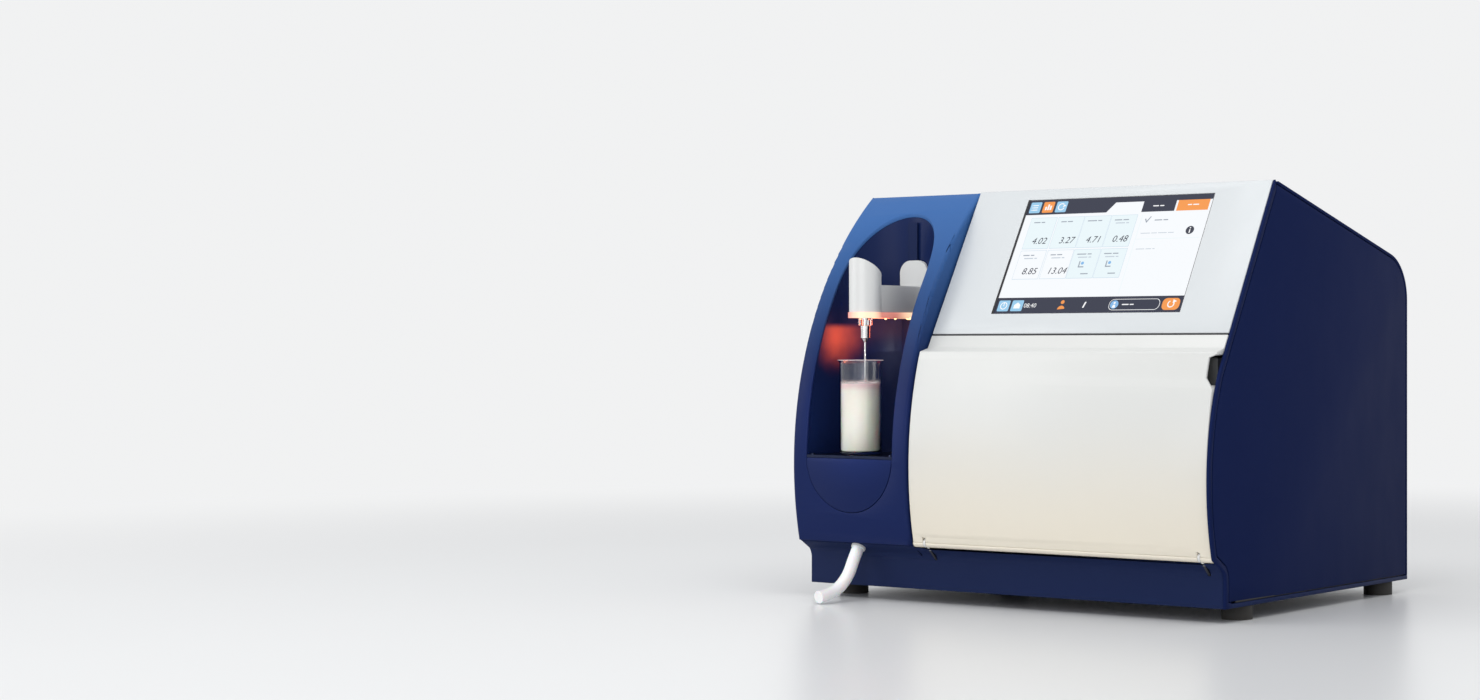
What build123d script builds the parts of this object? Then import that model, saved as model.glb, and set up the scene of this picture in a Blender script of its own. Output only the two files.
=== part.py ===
# Benchtop milk analyzer: cabinet with a slanted touch screen, a drop-down service door, and a
# sample niche on its left with a lifting intake arm over a glass beaker.
# Millimetres. X to the right, Y to the back, Z up, origin on the bench under the middle.
from build123d import *
import math
import os

os.makedirs("parts", exist_ok=True)

# Overall size
width = 470.0
depth = 376.5
height = 392.6
foot_height = 13.0

# Shared thicknesses and clearances
wall = 3.0
sheet = 2.5
seam = 0.5
running = 0.05
motion_gap = 0.4

# Side outline of the cabinet
ridge_y = -72.0
slant_angle = 29.2
roof_angle = 14.9
belly_top_drop = 174.6
belly_mid_z = 122.5
kink_y = -179.5
kink_z = 57.0
cove_y = -160.0
cove_top_z = 46.7
cove_bend_z = 38.5
cove_bend_y = -163.5
cove_round_y = 0.55
cove_round_z = 0.25
lip_edge = 1.4
cheek_strip = 5.0
side_seam = 1.1
rear_corner_radius = 46.0

# Bulged front of the sample module and of the door
bulge_radius = 345.0
bulge_z = 130.0
door_set_back = 2.0
edge_radius = 3.5

# Sample module
module_width = 138.0
module_back_y = -60.0
module_bottom_z = 55.5
module_panel_gap = 2.0

# Niche and shelf
niche_inset = 69.5
niche_radius = 52.0
niche_centre_y = -140.0
shelf_top_z = 138.5
shelf_thickness = 2.5
liner_floor = 3.0
insert_seam = 0.4
tongue_width = 60.0
tongue_depth = 12.0
shelf_pin_radius = 2.2
shelf_pin_inset = 4.5
shelf_pin_height = 1.2

# Intake arm
arm_inset = 71.0
post_y = -164.6
post_radius = 15.4
post_top_z = 327.0
post_scoop_angle = 33.0
arm_half_width = 13.0
arm_bottom_z = 275.0
arm_top_z = 301.0
arm_shell = 2.2
light_plate_thickness = 5.5
light_plate_rim = 1.0
carriage_front_y = -95.5
carriage_rear_y = -89.6
carriage_low_z = 215.0
carriage_high_z = 326.5
carriage_half_width = 10.5
shield_shift = 4.5
shield_half_width = 17.0
shield_corner = 13.0
shield_rear_y = -91.3
rail_low_z = 148.0
rail_top_drop = 28.6
rail_thickness = 3.0
rail_narrow = 3.0
rail_wide = 5.5
rail_gap = 0.3

# Needle and its chuck
collar_radius = 6.6
collar_low_z = 262.5
chuck_radius = 4.5
chuck_low_z = 250.0
chuck_high_z = 262.5
cone_low_z = 246.4
stem_radius = 2.6
stem_top_z = 280.0
needle_radius = 1.1
needle_bore_radius = 0.5
needle_low_z = 150.0

# Beaker and milk
beaker_inset = 66.4
beaker_y = -166.0
beaker_radius = 20.3
beaker_wall = 1.2
beaker_floor = 3.0
beaker_height = 90.7
beaker_rim_radius = 22.0
beaker_lift = 0.3
beaker_lip_height = 1.6
beaker_travel = 12.0
milk_level_z = 205.7

# Screen panel and display
panel_thickness = 3.5
panel_length = 158.6
panel_right_inset = 3.4
display_margin = 61.0
display_width = 208.4
display_top = 11.6
display_height = 125.4
display_inset = 0.8
glass_thickness = 2.0
gasket_width = 4.0
gasket_lip = 3.0
glass_gap = 0.2
gasket_depth = 2.0
display_module_thickness = 9.0
board_spacer = 5.0
board_thickness = 1.6

# Door
door_gap = 1.6
door_band = 13.6
ledge_drop = 3.2
door_rear_y = -152.0
door_liner_thickness = 2.5
door_liner_low_z = 68.0
door_liner_drop = 160.6
hinge_y = -174.2
hinge_z = 58.7
knuckle_radius = 4.5
hinge_pin_radius = 1.5
bracket_width = 2.4
bracket_gap = 0.4
ear_width = 7.0
bracket_web = 4.4
bracket_reach = 27.0
bracket_foot_width = 12.0
door_lip_gap = 0.8
grip_drop = 157.0
grip_height = 32.0
grip_slope = 3.3
grip_run_out = 11.0
grip_width = 7.5
hinge_inset = 13.0
magnet_radius = 5.0
magnet_length = 6.0
magnet_z = 190.0
magnet_inset = 12.0
magnet_gap = 0.4
door_rib_count = 5
strike_thickness = 1.5

# Service bay
bay_front_y = -148.5
bay_low_z = 58.0
bay_top_drop = 149.6
bay_left_margin = 5.0
bay_right_margin = 7.0
bay_sheet = 2.0
frame_sheet = 3.0
frame_window_margin = 2.0
frame_bar_drop = 141.0

# Chassis
chassis_y = -42.0
chassis_sheet = 2.0
chassis_side_sheet = 2.5
chassis_side_front_y = -120.0
chassis_side_drop = 102.6
cross_top_drop = 30.6
shaft_gap = 2.0
floor_thickness = 4.0
vent_count = 26
vent_start_x = -150.0
vent_pitch = 12.0
vent_width = 5.0
vent_front_y = -20.0
vent_length = 55.0
nose_depth = 10.2

# Feet
foot_radius = 14.0
foot_inset_x = 16.0
foot_front_y = -114.0
foot_rear_y = 156.0
foot_stem_radius = 3.0

# Peristaltic pump
pump_inset = 40.0
pump_below_middle = 10.5
pump_plate = 84.0
pump_plate_thickness = 6.0
race_radius = 28.0
race_wall = 7.0
race_length = 34.0
tube_radius = 1.7
tube_gap = 0.35
roller_radius = 5.0
roller_count = 3
rotor_hub_radius = 9.0
pump_shaft_radius = 3.0
pump_cover_thickness = 4.0
motor_radius = 21.0
motor_length = 52.0
manifold_drop = 17.0
manifold_height = 18.0
manifold_half_width = 36.0

# Inline filter
filter_inset = 15.0
filter_z = 150.0
filter_radius = 8.5
filter_length = 56.0
filter_port_radius = 4.0
filter_reach = 14.0
clip_spacing = 26.0

# Bottles in the bay
bottle_gap = 4.0
bottle_depth = 84.0
bottle_headroom = 43.0
bottle_wall = 2.0
bottle_neck_radius = 15.0
bottle_neck_height = 10.0
bottle_cap_radius = 18.0
bottle_cap_height = 16.0
bottle_front_y = -140.0
pump_side_width = 92.0
filter_side_width = 34.0
bottle_edge_radius = 8.0
liquid_level = 0.7
suction_radius = 2.0

# Measuring unit
optics_left = -70.0
optics_right = 110.0
optics_front_y = -18.0
optics_rear_y = 128.0
optics_base_z = 58.0
optics_base_thickness = 12.0
isolator_radius = 9.0
block_height = 74.0
source_radius = 17.0
source_length = 34.0
detector_radius = 13.0
detector_length = 40.0

# Electronics
board_left = -60.0
board_right = 200.0
board_low_z = 190.0
board_high_z = 330.0
board_boss_inset = 10.0
board_boss_radius = 4.0
board_boss_height = 8.0
board_chips = ((20, 20, 30, 30, 3), (80, 10, 60, 18, 12), (160, 40, 36, 36, 6),
               (90, 70, 44, 44, 14), (210, 10, 30, 60, 10), (160, 100, 70, 16, 9))
supply_rear_y = 158.0
supply_length = 150.0
supply_width = 84.0
supply_height = 48.0
fan_x = -140.0
fan_z = 190.0
fan_size = 80.0
fan_depth = 25.0
fan_bore_radius = 37.5
fan_hub_radius = 15.0
fan_blades = 7
fan_blade_radius = 35.5
fan_slot_count = 5
fan_slot_pitch = 13.0
screw_places_x = (-200.0, 0.0, 200.0)
screw_drop = 122.6
screw_radius = 3.0
screw_head_radius = 5.0
screw_head_height = 1.6

# Rear connectors
rear_window_inset = 19.0
rear_window_width = 160.0
rear_window_low_z = 34.0
rear_window_high_z = 104.0
rear_plate_sheet = 1.5
inlet_inset = 45.0
inlet_z = 66.0
switch_inset = 77.0
rocker_width = 19.2
rocker_radius = 11.4
rocker_axis_depth = 8.6
rocker_pin_radius = 1.5
rocker_face = 9.4
rocker_tilt = 10.0
ports_inset = 143.0

# Drain
drain_inset = 68.0
drain_flange_radius = 7.0
drain_flange_thickness = 2.0
drain_barrel_radius = 4.9
drain_barrel_length = 14.0
drain_place = 0.55
drain_first_run = 12.0
hose_radius = 5.9

# Derived planes and places
half_width = width / 2
front_y = -depth / 2
rear_y = depth / 2
body_z = foot_height
floor_z = body_z + floor_thickness
nose_rear_y = cove_y + nose_depth
slant_sin = math.sin(math.radians(slant_angle))
slant_cos = math.cos(math.radians(slant_angle))
roof_tan = math.tan(math.radians(roof_angle))
roof_cos = math.cos(math.radians(roof_angle))
belly_top_z = height - belly_top_drop
bulge_y = front_y + bulge_radius
module_left = -half_width
module_right = module_left + module_width
panel_left = module_right + module_panel_gap
panel_right = half_width - panel_right_inset
cheek_left = half_width - wall
niche_x = module_left + niche_inset
niche_back_y = niche_centre_y + niche_radius
arm_x = module_left + arm_inset
beaker_x = module_left + beaker_inset
drain_x = module_left + drain_inset
rail_high_z = height - rail_top_drop
light_bottom_z = arm_bottom_z - light_plate_thickness
slant = Plane(origin=(0, ridge_y, height), x_dir=(1, 0, 0), z_dir=(0, -slant_cos, slant_sin))
display_left = panel_left + display_margin
hinge_left_x = panel_left + hinge_inset
hinge_right_x = panel_right - hinge_inset
hinge_places = (hinge_left_x, hinge_right_x)
door_liner_high_z = height - door_liner_drop
grip_high_z = height - grip_drop
grip_low_z = grip_high_z - grip_height
shelf_bottom_z = shelf_top_z - shelf_thickness
bay_left = panel_left + bay_left_margin
bay_right = half_width - bay_right_margin
bay_high_z = height - bay_top_drop
frame_bar_z = height - frame_bar_drop
first_bottle_x = bay_left + pump_side_width
bottle_width = (bay_right - first_bottle_x - filter_side_width - bottle_gap) / 2
bottle_spacing = bottle_width + bottle_gap
bottle_height = bay_high_z - bay_low_z - 2 * bay_sheet - bottle_headroom
filter_x = bay_right - filter_inset
pump_x = bay_left + pump_inset
pump_z = (bay_low_z + bay_high_z) / 2 - pump_below_middle
manifold_high_z = bay_high_z - manifold_drop
manifold_low_z = manifold_high_z - manifold_height
chassis_side_top_z = height - chassis_side_drop
cross_high_z = height - cross_top_drop
chassis_rear_y = chassis_y + chassis_sheet
pump_front_y = chassis_y - bay_sheet
cover_inner_rear_y = rear_y - wall
screw_z = height - screw_drop
rear_window_right = half_width - rear_window_inset
rear_window_left = rear_window_right - rear_window_width
inlet_x = half_width - inlet_inset
switch_x = half_width - switch_inset
ports_x = half_width - ports_inset


def box(x0, x1, y0, y1, z0, z1):
    middle = Pos((x0 + x1) / 2, (y0 + y1) / 2, (z0 + z1) / 2)
    return middle * Box(x1 - x0, y1 - y0, z1 - z0)


def rod_x(y, z, radius, x0, x1):
    return Pos((x0 + x1) / 2, y, z) * Rot(0, 90, 0) * Cylinder(radius, x1 - x0)


def rod_y(x, z, radius, y0, y1):
    return Pos(x, (y0 + y1) / 2, z) * Rot(90, 0, 0) * Cylinder(radius, y1 - y0)


def rod_z(x, y, radius, z0, z1):
    return Pos(x, y, (z0 + z1) / 2) * Cylinder(radius, z1 - z0)


def between_x(face, x0, x1):
    # A face drawn in Y and Z, stretched from one X to another.
    return extrude(Plane.YZ.offset(x0).location * face, amount=x1 - x0)


def polygon(*points):
    return make_face(Polyline(*points, close=True))


def patch(y0, y1, z0, z1):
    # A rectangle in Y and Z.
    return Pos((y0 + y1) / 2, (z0 + z1) / 2) * Rectangle(y1 - y0, z1 - z0)


def slant_box(x0, x1, low, high, near, far):
    # A box measured down the slanted front and in from its surface.
    return slant.location * box(x0, x1, -high, -low, -far, -near)


def roof_z(y):
    return height - (y - ridge_y) * roof_tan


def slant_y(z):
    return ridge_y - (height - z) * slant_sin / slant_cos


def bulge_front_y(z, inset=0.0):
    return bulge_y - math.sqrt((bulge_radius - inset) ** 2 - (z - bulge_z) ** 2)


def bulge_cylinder(inset, x0, x1):
    return rod_x(bulge_y, bulge_z, bulge_radius - inset, x0, x1)


def cove_arc():
    # Rounds the cove from its sloping underside into its upright face.
    middle_y = (cove_bend_y + cove_y) / 2 + cove_round_y
    middle_z = (cove_top_z + cove_bend_z) / 2 + cove_round_z
    return ThreePointArc((cove_bend_y, cove_top_z), (middle_y, middle_z), (cove_y, cove_bend_z))


def cabinet_outline():
    # The cabinet seen from its right: slanted front, belly, cove, flat rear and sloping roof.
    belly_start = (slant_y(belly_top_z), belly_top_z)
    corner_z = roof_z(rear_y)
    tangent = rear_corner_radius * math.tan(math.radians((90 - roof_angle) / 2))
    rear_top = (rear_y, corner_z - tangent)
    roof_end_y = rear_y - tangent * roof_cos
    edges = [
        Line((ridge_y, height), belly_start),
        ThreePointArc(belly_start, (front_y, belly_mid_z), (kink_y, kink_z)),
        Line((kink_y, kink_z), (cove_bend_y, cove_top_z)),
        cove_arc(),
        Line((cove_y, cove_bend_z), (cove_y, body_z)),
        Line((cove_y, body_z), (rear_y, body_z)),
        Line((rear_y, body_z), rear_top),
        TangentArc(rear_top, (roof_end_y, roof_z(roof_end_y)), tangent=(0, 1)),
        Line((roof_end_y, roof_z(roof_end_y)), (ridge_y, height)),
    ]
    return make_face(edges)


def niche_plan(grow=0.0, front=-220.0):
    # The niche seen from above: a half circle at the back and straight sides to the front.
    radius = niche_radius + grow
    round_back = Pos(niche_x, niche_centre_y) * Circle(radius)
    run = niche_centre_y - front
    straight = Pos(niche_x, (niche_centre_y + front) / 2) * Rectangle(2 * radius, run)
    return round_back + straight


def niche_prism(low, high, grow=0.0, front=-220.0):
    return extrude(Pos(0, 0, low) * niche_plan(grow, front), amount=high - low)


def insert_prism(shrink=0.0):
    # The rounded field under the shelf, seen from the front.
    radius = niche_radius - shrink
    disc = rod_y(niche_x, shelf_bottom_z, radius, front_y - 5, -150)
    upper = box(niche_x - 80, niche_x + 80, front_y - 6, -149, shelf_bottom_z - shrink, 260)
    return disc - upper


def module_block(inset, back):
    # The module's outer body, or its hollow when inset by the wall.
    low = module_bottom_z + inset
    drop = inset / roof_cos
    top_front = roof_z(-220.0) - drop
    roof = polygon((-220.0, low), (back, low), (back, roof_z(back) - drop), (-220.0, top_front))
    prism = between_x(roof, module_left + inset, module_right - inset)
    return prism & bulge_cylinder(inset, module_left - 5, module_right + 5)


def sample_module():
    outer = module_block(0.0, module_back_y)
    rim = [edge for edge in outer.edges().filter_by(GeomType.CIRCLE) if edge.length > 200]
    outer = fillet(rim, edge_radius)
    hollow = module_block(wall, module_back_y + 10)
    shell = outer - hollow
    shell -= niche_prism(shelf_bottom_z, height + 30)
    shell -= insert_prism()
    return shell - drain_frame() * Cylinder(drain_barrel_radius, 2 * drain_barrel_length)


def niche_liner():
    low = shelf_bottom_z - liner_floor
    outer = niche_prism(low, height + 30, sheet) & bulge_cylinder(wall, -300, 0)
    inner = niche_prism(shelf_bottom_z, height + 31)
    return outer - inner


def sample_shelf():
    plate = niche_prism(shelf_bottom_z, shelf_top_z, -seam / 2)
    plate = plate & bulge_cylinder(seam, module_left, module_right)
    for side in (-1, 1):
        x = niche_x + side * (niche_radius - shelf_pin_inset)
        y = bulge_front_y(shelf_top_z) + shelf_pin_inset
        plate += rod_z(x, y, shelf_pin_radius, shelf_bottom_z, shelf_top_z + shelf_pin_height)
    return plate


def drip_insert():
    body = insert_prism(insert_seam) & bulge_cylinder(0.0, module_left, module_right)
    body -= bulge_cylinder(wall, module_left - 5, module_right + 5)
    seat_z = shelf_bottom_z - liner_floor
    rear = bulge_front_y(seat_z, wall)
    half = tongue_width / 2
    tongue = box(niche_x - half, niche_x + half, rear - 1, rear + tongue_depth, seat_z - wall, seat_z)
    return body + (tongue & bulge_cylinder(wall / 2, module_left, module_right))


def base_tray():
    floor = box(-half_width, half_width, nose_rear_y, rear_y, body_z, floor_z)
    nose = box(-half_width, cheek_left, cove_y, nose_rear_y, body_z, floor_z)
    tray = floor + nose
    tray += skirt(module_bottom_z, -half_width, module_right)
    tray += skirt(hinge_z - knuckle_radius - door_lip_gap, module_right, cheek_left)
    end = cabinet_outline() & patch(front_y - 1, nose_rear_y, body_z - 1, module_bottom_z)
    tray += between_x(end, -half_width, -half_width + wall)
    for index in range(vent_count):
        x = vent_start_x + index * vent_pitch
        tray -= box(x, x + vent_width, vent_front_y, vent_front_y + vent_length, 0, floor_z + 1)
    tray -= drain_frame() * Cylinder(drain_barrel_radius, 2 * drain_barrel_length)
    for x, y in foot_places():
        tray -= rod_z(x, y, foot_stem_radius, body_z - 1, floor_z + 1)
    for x in hinge_places:
        tray -= bracket_web_box(x, bracket_gap)
    return tray


def skirt(lip_z, x0, x1):
    # The cove under the module and the door, with its lip at the top.
    slope = (kink_z - cove_top_z) / (kink_y - cove_bend_y)
    lip_y = cove_bend_y + (lip_z - lip_edge - cove_top_z) / slope
    inner_y = cove_y + wall
    edges = [
        Line((lip_y, lip_z), (lip_y, lip_z - lip_edge)),
        Line((lip_y, lip_z - lip_edge), (cove_bend_y, cove_top_z)),
        cove_arc(),
        Line((cove_y, cove_bend_z), (cove_y, body_z)),
        Line((cove_y, body_z), (inner_y, body_z)),
        Line((inner_y, body_z), (inner_y, cove_bend_z + 1)),
        Line((inner_y, cove_bend_z + 1), (cove_bend_y + wall, lip_z)),
        Line((cove_bend_y + wall, lip_z), (lip_y, lip_z)),
    ]
    return between_x(make_face(edges), x0, x1)


def foot_places():
    x = half_width - foot_inset_x
    return [(-x, foot_front_y), (x, foot_front_y), (-x, foot_rear_y), (x, foot_rear_y)]


def feet():
    pads = []
    for x, y in foot_places():
        pad = rod_z(x, y, foot_radius, 0, body_z)
        stem = rod_z(x, y, foot_stem_radius, body_z, floor_z)
        pads.append(pad + stem)
    return Compound(children=pads)


def cheek_face():
    # Strip of the frame that shows on the cabinet's right side, along its front edge.
    outline = cabinet_outline()
    strip = outline - offset(outline, amount=-cheek_strip, kind=Kind.INTERSECTION)
    strip &= patch(front_y - 1, ridge_y, 0, height + 1)
    return strip - patch(nose_rear_y, ridge_y, 0, body_z + cheek_strip + 1)


def front_frame():
    backing = slant_box(panel_left, cheek_left, 4.0, panel_length, panel_thickness, panel_thickness + frame_sheet)
    margin = gasket_width + frame_window_margin
    opening_right = display_left + display_width + margin
    opening_low = display_top + display_height + margin
    backing -= slant_box(display_left - margin, opening_right, display_top - margin, opening_low, 0, 40)
    inner_y = bay_front_y + frame_sheet
    bar = box(panel_left, cheek_left, inner_y, inner_y + frame_sheet, bay_high_z, frame_bar_z)
    surround = box(panel_left, cheek_left, bay_front_y, inner_y, floor_z, bay_high_z + frame_sheet)
    window_left = bay_left + frame_window_margin
    window_right = bay_right - frame_window_margin
    window_high = bay_high_z - frame_window_margin
    surround -= box(window_left, window_right, -160, -130, bay_low_z + frame_window_margin, window_high)
    frame = between_x(cheek_face(), cheek_left, half_width) + backing + surround + bar
    for x in magnet_places():
        frame -= rod_y(x, magnet_z, magnet_radius, bay_front_y - 1, inner_y + 1)
    return frame


def screen_panel():
    panel = slant_box(panel_left, panel_right, 0, panel_length, 0, panel_thickness)
    right = display_left + display_width
    low = display_top + display_height
    panel -= slant_box(display_left, right, display_top, low, -1, panel_thickness + 1)
    return panel


def display_glass():
    right = display_left + display_width - glass_gap
    low = display_top + display_height - glass_gap
    near = display_inset
    return slant_box(display_left + glass_gap, right, display_top + glass_gap, low, near, near + glass_thickness)


def display_gasket():
    right = display_left + display_width
    low = display_top + display_height
    near = display_inset + glass_thickness
    far = near + gasket_depth
    edge = gasket_width
    frame = slant_box(display_left - edge, right + edge, display_top - edge, low + edge, panel_thickness, far)
    frame += slant_box(display_left + glass_gap, right - glass_gap, display_top + glass_gap, low - glass_gap, near, far)
    edge = gasket_lip
    return frame - slant_box(display_left + edge, right - edge, display_top + edge, low - edge, 0, far + 1)


def display_module():
    near = display_inset + glass_thickness + gasket_depth
    far = near + display_module_thickness
    left = display_left - gasket_width
    right = display_left + display_width + gasket_width
    high = display_top - gasket_width
    low = display_top + display_height + gasket_width
    body = slant_box(left, right, high, low, near, far)
    board_near = far + board_spacer
    for x in (left + 24, right - 30):
        for drop in (high + 24, low - 30):
            body += slant_box(x, x + 6, drop, drop + 6, far, board_near)
    body += slant_box(left + 14, right - 14, high + 14, low - 14, board_near, board_near + board_thickness)
    chip_near = board_near + board_thickness
    body += slant_box(left + 44, left + 79, high + 36, high + 71, chip_near, chip_near + 4)
    return body + slant_box(right - 90, right - 40, high + 26, high + 40, chip_near, chip_near + 6)


def door_top_z():
    return height - (panel_length + door_gap) * slant_cos


def door_band_z():
    return door_top_z() - door_band * slant_cos


def door_body(inset):
    # The bulged lower part of the door in Y and Z, from the ledge down to the knuckle.
    ledge_z = door_band_z() - ledge_drop - inset
    ledge_y = bulge_front_y(ledge_z, door_set_back + inset)
    low_y = bulge_front_y(hinge_z, door_set_back + inset)
    middle_z = (ledge_z + hinge_z) / 2
    middle_y = bulge_front_y(middle_z, door_set_back + inset)
    return (ledge_y, ledge_z), (middle_y, middle_z), (low_y, hinge_z)


def door_solid_face():
    high, middle, low = door_body(0.0)
    band = (slant_y(door_band_z()), door_band_z())
    behind = (slant_y(door_band_z()) + wall / slant_cos, door_band_z())
    edges = [
        Line(band, high),
        ThreePointArc(high, middle, low),
        Line(low, (door_rear_y, hinge_z)),
        Line((door_rear_y, hinge_z), (door_rear_y, high[1] - 2)),
        Line((door_rear_y, high[1] - 2), behind),
        Line(behind, band),
    ]
    return make_face(edges)


def door_hollow_face():
    high, middle, low = door_body(wall)
    behind_y = door_rear_y + 6
    edges = [
        ThreePointArc(high, middle, low),
        Line(low, (behind_y, hinge_z)),
        Line((behind_y, hinge_z), (behind_y, high[1])),
        Line((behind_y, high[1]), high),
    ]
    return make_face(edges)


def grip_face():
    # Notch for the fingers at the door's upper right, seen from the front.
    left = panel_right - grip_width
    return polygon((panel_right + 1, grip_high_z), (left, grip_high_z - grip_slope),
                   (left, grip_low_z + grip_run_out), (panel_right + 1, grip_low_z))


def door_skin():
    skin = between_x(door_solid_face(), panel_left, panel_right)
    skin -= between_x(door_hollow_face(), panel_left + wall, panel_right - wall)
    skin += slant_box(panel_left, panel_right, panel_length + door_gap, panel_length + door_gap + door_band, 0, wall)
    skin += rod_x(hinge_y, hinge_z, knuckle_radius, panel_left, panel_right)
    skin -= extrude(Plane.XZ.offset(-door_rear_y).location * grip_face(), amount=door_rear_y - front_y + 5)
    for x in hinge_places:
        half = bracket_width / 2 + bracket_gap
        reach = half + ear_width
        skin -= box(x - half, x + half, front_y, door_rear_y, hinge_z - 8, hinge_z + knuckle_radius + bracket_gap)
        skin -= rod_x(hinge_y, hinge_z, hinge_pin_radius + running, x - reach, x + reach)
    return skin


def door_liner():
    front = door_rear_y - door_liner_thickness
    plate = box(panel_left + wall, panel_right - wall, front, door_rear_y, door_liner_low_z, door_liner_high_z)
    pitch = (panel_right - panel_left) / (door_rib_count + 1)
    for index in range(door_rib_count):
        x = panel_left + pitch * (index + 1)
        rib = box(x, x + 2, front_y, front, door_liner_low_z + 10, door_liner_high_z - 14)
        plate += rib & bulge_cylinder(door_set_back + wall, -half_width, half_width)
    for x in magnet_places():
        plate -= rod_y(x, magnet_z, magnet_radius, door_rear_y - strike_thickness, door_rear_y + 1)
    return plate


def magnet_places():
    return (panel_left + magnet_inset, panel_right - magnet_inset)


def door_strikes():
    discs = []
    for x in magnet_places():
        discs.append(rod_y(x, magnet_z, magnet_radius, door_rear_y - strike_thickness, door_rear_y))
    return Compound(children=discs)


def door_magnets():
    pots = []
    for x in magnet_places():
        pots.append(rod_y(x, magnet_z, magnet_radius, door_rear_y + magnet_gap, bay_front_y + magnet_length))
    return Compound(children=pots)


def bracket_web_box(x, grow):
    # The web that runs down and back from the knuckle through a slot in the cove.
    half = bracket_width / 2 + grow
    thick = bracket_web / 2 + grow
    web = box(-half, half, 0, bracket_reach, -thick, thick)
    return Pos(x, hinge_y, hinge_z) * Rot(-45, 0, 0) * web


def hinge_brackets():
    brackets = []
    inner_y = cove_y + wall
    half = bracket_width / 2
    foot = bracket_foot_width / 2
    for x in hinge_places:
        leg = box(x - foot, x + foot, inner_y, inner_y + 4, floor_z, cove_bend_z + 1)
        body = rod_x(hinge_y, hinge_z, knuckle_radius, x - half, x + half) + bracket_web_box(x, 0) + leg
        brackets.append(body - rod_x(hinge_y, hinge_z, hinge_pin_radius, x - half - 1, x + half + 1))
    return Compound(children=brackets)


def hinge_pins():
    reach = bracket_width / 2 + bracket_gap + ear_width - 0.5
    pins = []
    for x in hinge_places:
        pins.append(rod_x(hinge_y, hinge_z, hinge_pin_radius, x - reach, x + reach))
    return Compound(children=pins)


def top_rear_cover():
    outline = cabinet_outline()
    band = outline - offset(outline, amount=-wall, kind=Kind.INTERSECTION)
    start_y = ridge_y + panel_thickness / slant_cos + seam
    band -= patch(front_y - 10, start_y, 0, height + 10)
    band -= patch(front_y - 10, rear_y + 10, 0, floor_z)
    cover = between_x(band, -half_width, half_width)
    cover -= box(-half_width - 1, module_right + seam, ridge_y - 9, module_back_y + seam, 300, height + 10)
    for row in range(fan_slot_count):
        z = fan_z + (row - (fan_slot_count - 1) / 2) * fan_slot_pitch
        half = math.sqrt(fan_blade_radius ** 2 - (z - fan_z) ** 2)
        cover -= box(fan_x - half, fan_x + half, rear_y - 20, rear_y + 1, z - 3, z + 3)
    cover -= box(rear_window_left, rear_window_right, rear_y - 20, rear_y + 1, rear_window_low_z, rear_window_high_z)
    for x in screw_places_x:
        cover -= rod_y(x, screw_z, screw_radius, rear_y - 20, rear_y + 1)
        cover -= rod_y(x, screw_z, screw_head_radius, rear_y - screw_head_height, rear_y + 1)
    return cover


def side_plate():
    # Side cover in Y and Z, a seam inside the frame's strip, the roof cover and the tray's lip.
    outline = cabinet_outline()
    plate = offset(outline, amount=-(cheek_strip + side_seam), kind=Kind.INTERSECTION)
    upper = offset(outline, amount=-(wall + side_seam), kind=Kind.INTERSECTION)
    plate += upper & patch(ridge_y + seam, rear_y, 0, height)
    return plate - patch(front_y - 1, rear_y, 0, floor_z + side_seam)


def side_cover_right():
    return between_x(side_plate(), cheek_left, half_width)


def side_cover_left():
    keep = patch(module_back_y + seam, rear_y, 0, height)
    keep += patch(nose_rear_y + seam, rear_y, 0, module_bottom_z - seam)
    return between_x(side_plate() & keep, -half_width, -half_width + wall)


def board_boss_places():
    places = []
    for x in (board_left + board_boss_inset, board_right - board_boss_inset):
        for z in (board_low_z + board_boss_inset, board_high_z - board_boss_inset):
            places.append((x, z))
    return places


def chassis():
    under = wall / roof_cos
    rear = cover_inner_rear_y
    shoulder_z = roof_z(rear_y) - rear_corner_radius * math.tan(math.radians((90 - roof_angle) / 2))
    shoulder_y = rear_y - rear_corner_radius - 2
    left_side = polygon((chassis_side_front_y, module_bottom_z + 6), (module_back_y, module_bottom_z + 6),
                        (module_back_y, floor_z), (rear, floor_z), (rear, shoulder_z),
                        (shoulder_y, roof_z(shoulder_y) - under), (module_back_y, roof_z(module_back_y) - under),
                        (chassis_side_front_y, chassis_side_top_z))
    right_side = polygon((bay_front_y + 10, floor_z), (rear, floor_z), (rear, shoulder_z),
                         (shoulder_y, roof_z(shoulder_y) - under), (chassis_y - 14, roof_z(chassis_y - 14) - under),
                         (chassis_side_front_y, bay_high_z))
    window = polygon((20, 100), (shoulder_y, 100), (shoulder_y, 250), (20, 285))
    left_x = -half_width + wall
    frame = between_x(left_side - window, left_x, left_x + chassis_side_sheet)
    frame += between_x(right_side - window, cheek_left - chassis_side_sheet, cheek_left)
    cross = box(left_x, cheek_left, chassis_y, chassis_rear_y, floor_z, cross_high_z)
    cross -= rod_y(pump_x, pump_z, pump_shaft_radius + shaft_gap, chassis_y - 1, chassis_rear_y + 1)
    cross -= box(-220, -110, chassis_y - 1, chassis_rear_y + 1, 70, 330)
    for x, z in board_boss_places():
        cross += rod_y(x, z, board_boss_radius, chassis_rear_y, chassis_rear_y + board_boss_height)
    return frame + cross


def bay_liner():
    front = bay_front_y + frame_sheet
    outer = box(bay_left, bay_right, front, chassis_y, bay_low_z, bay_high_z)
    inner = box(bay_left + bay_sheet, bay_right - bay_sheet, front - 10, pump_front_y,
                bay_low_z + bay_sheet, bay_high_z - bay_sheet)
    liner = outer - inner
    filter_y = pump_front_y - filter_reach
    for z in (filter_z - clip_spacing / 2, filter_z + clip_spacing / 2):
        half = filter_radius + 2
        clip = box(filter_x - half, filter_x + half, filter_y - 4, pump_front_y, z - 2.5, z + 2.5)
        liner += clip - rod_z(filter_x, filter_y, filter_radius, z - 4, z + 4)
    return liner - rod_y(pump_x, pump_z, pump_shaft_radius + shaft_gap, pump_front_y - 1, chassis_y + 1)


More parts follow.
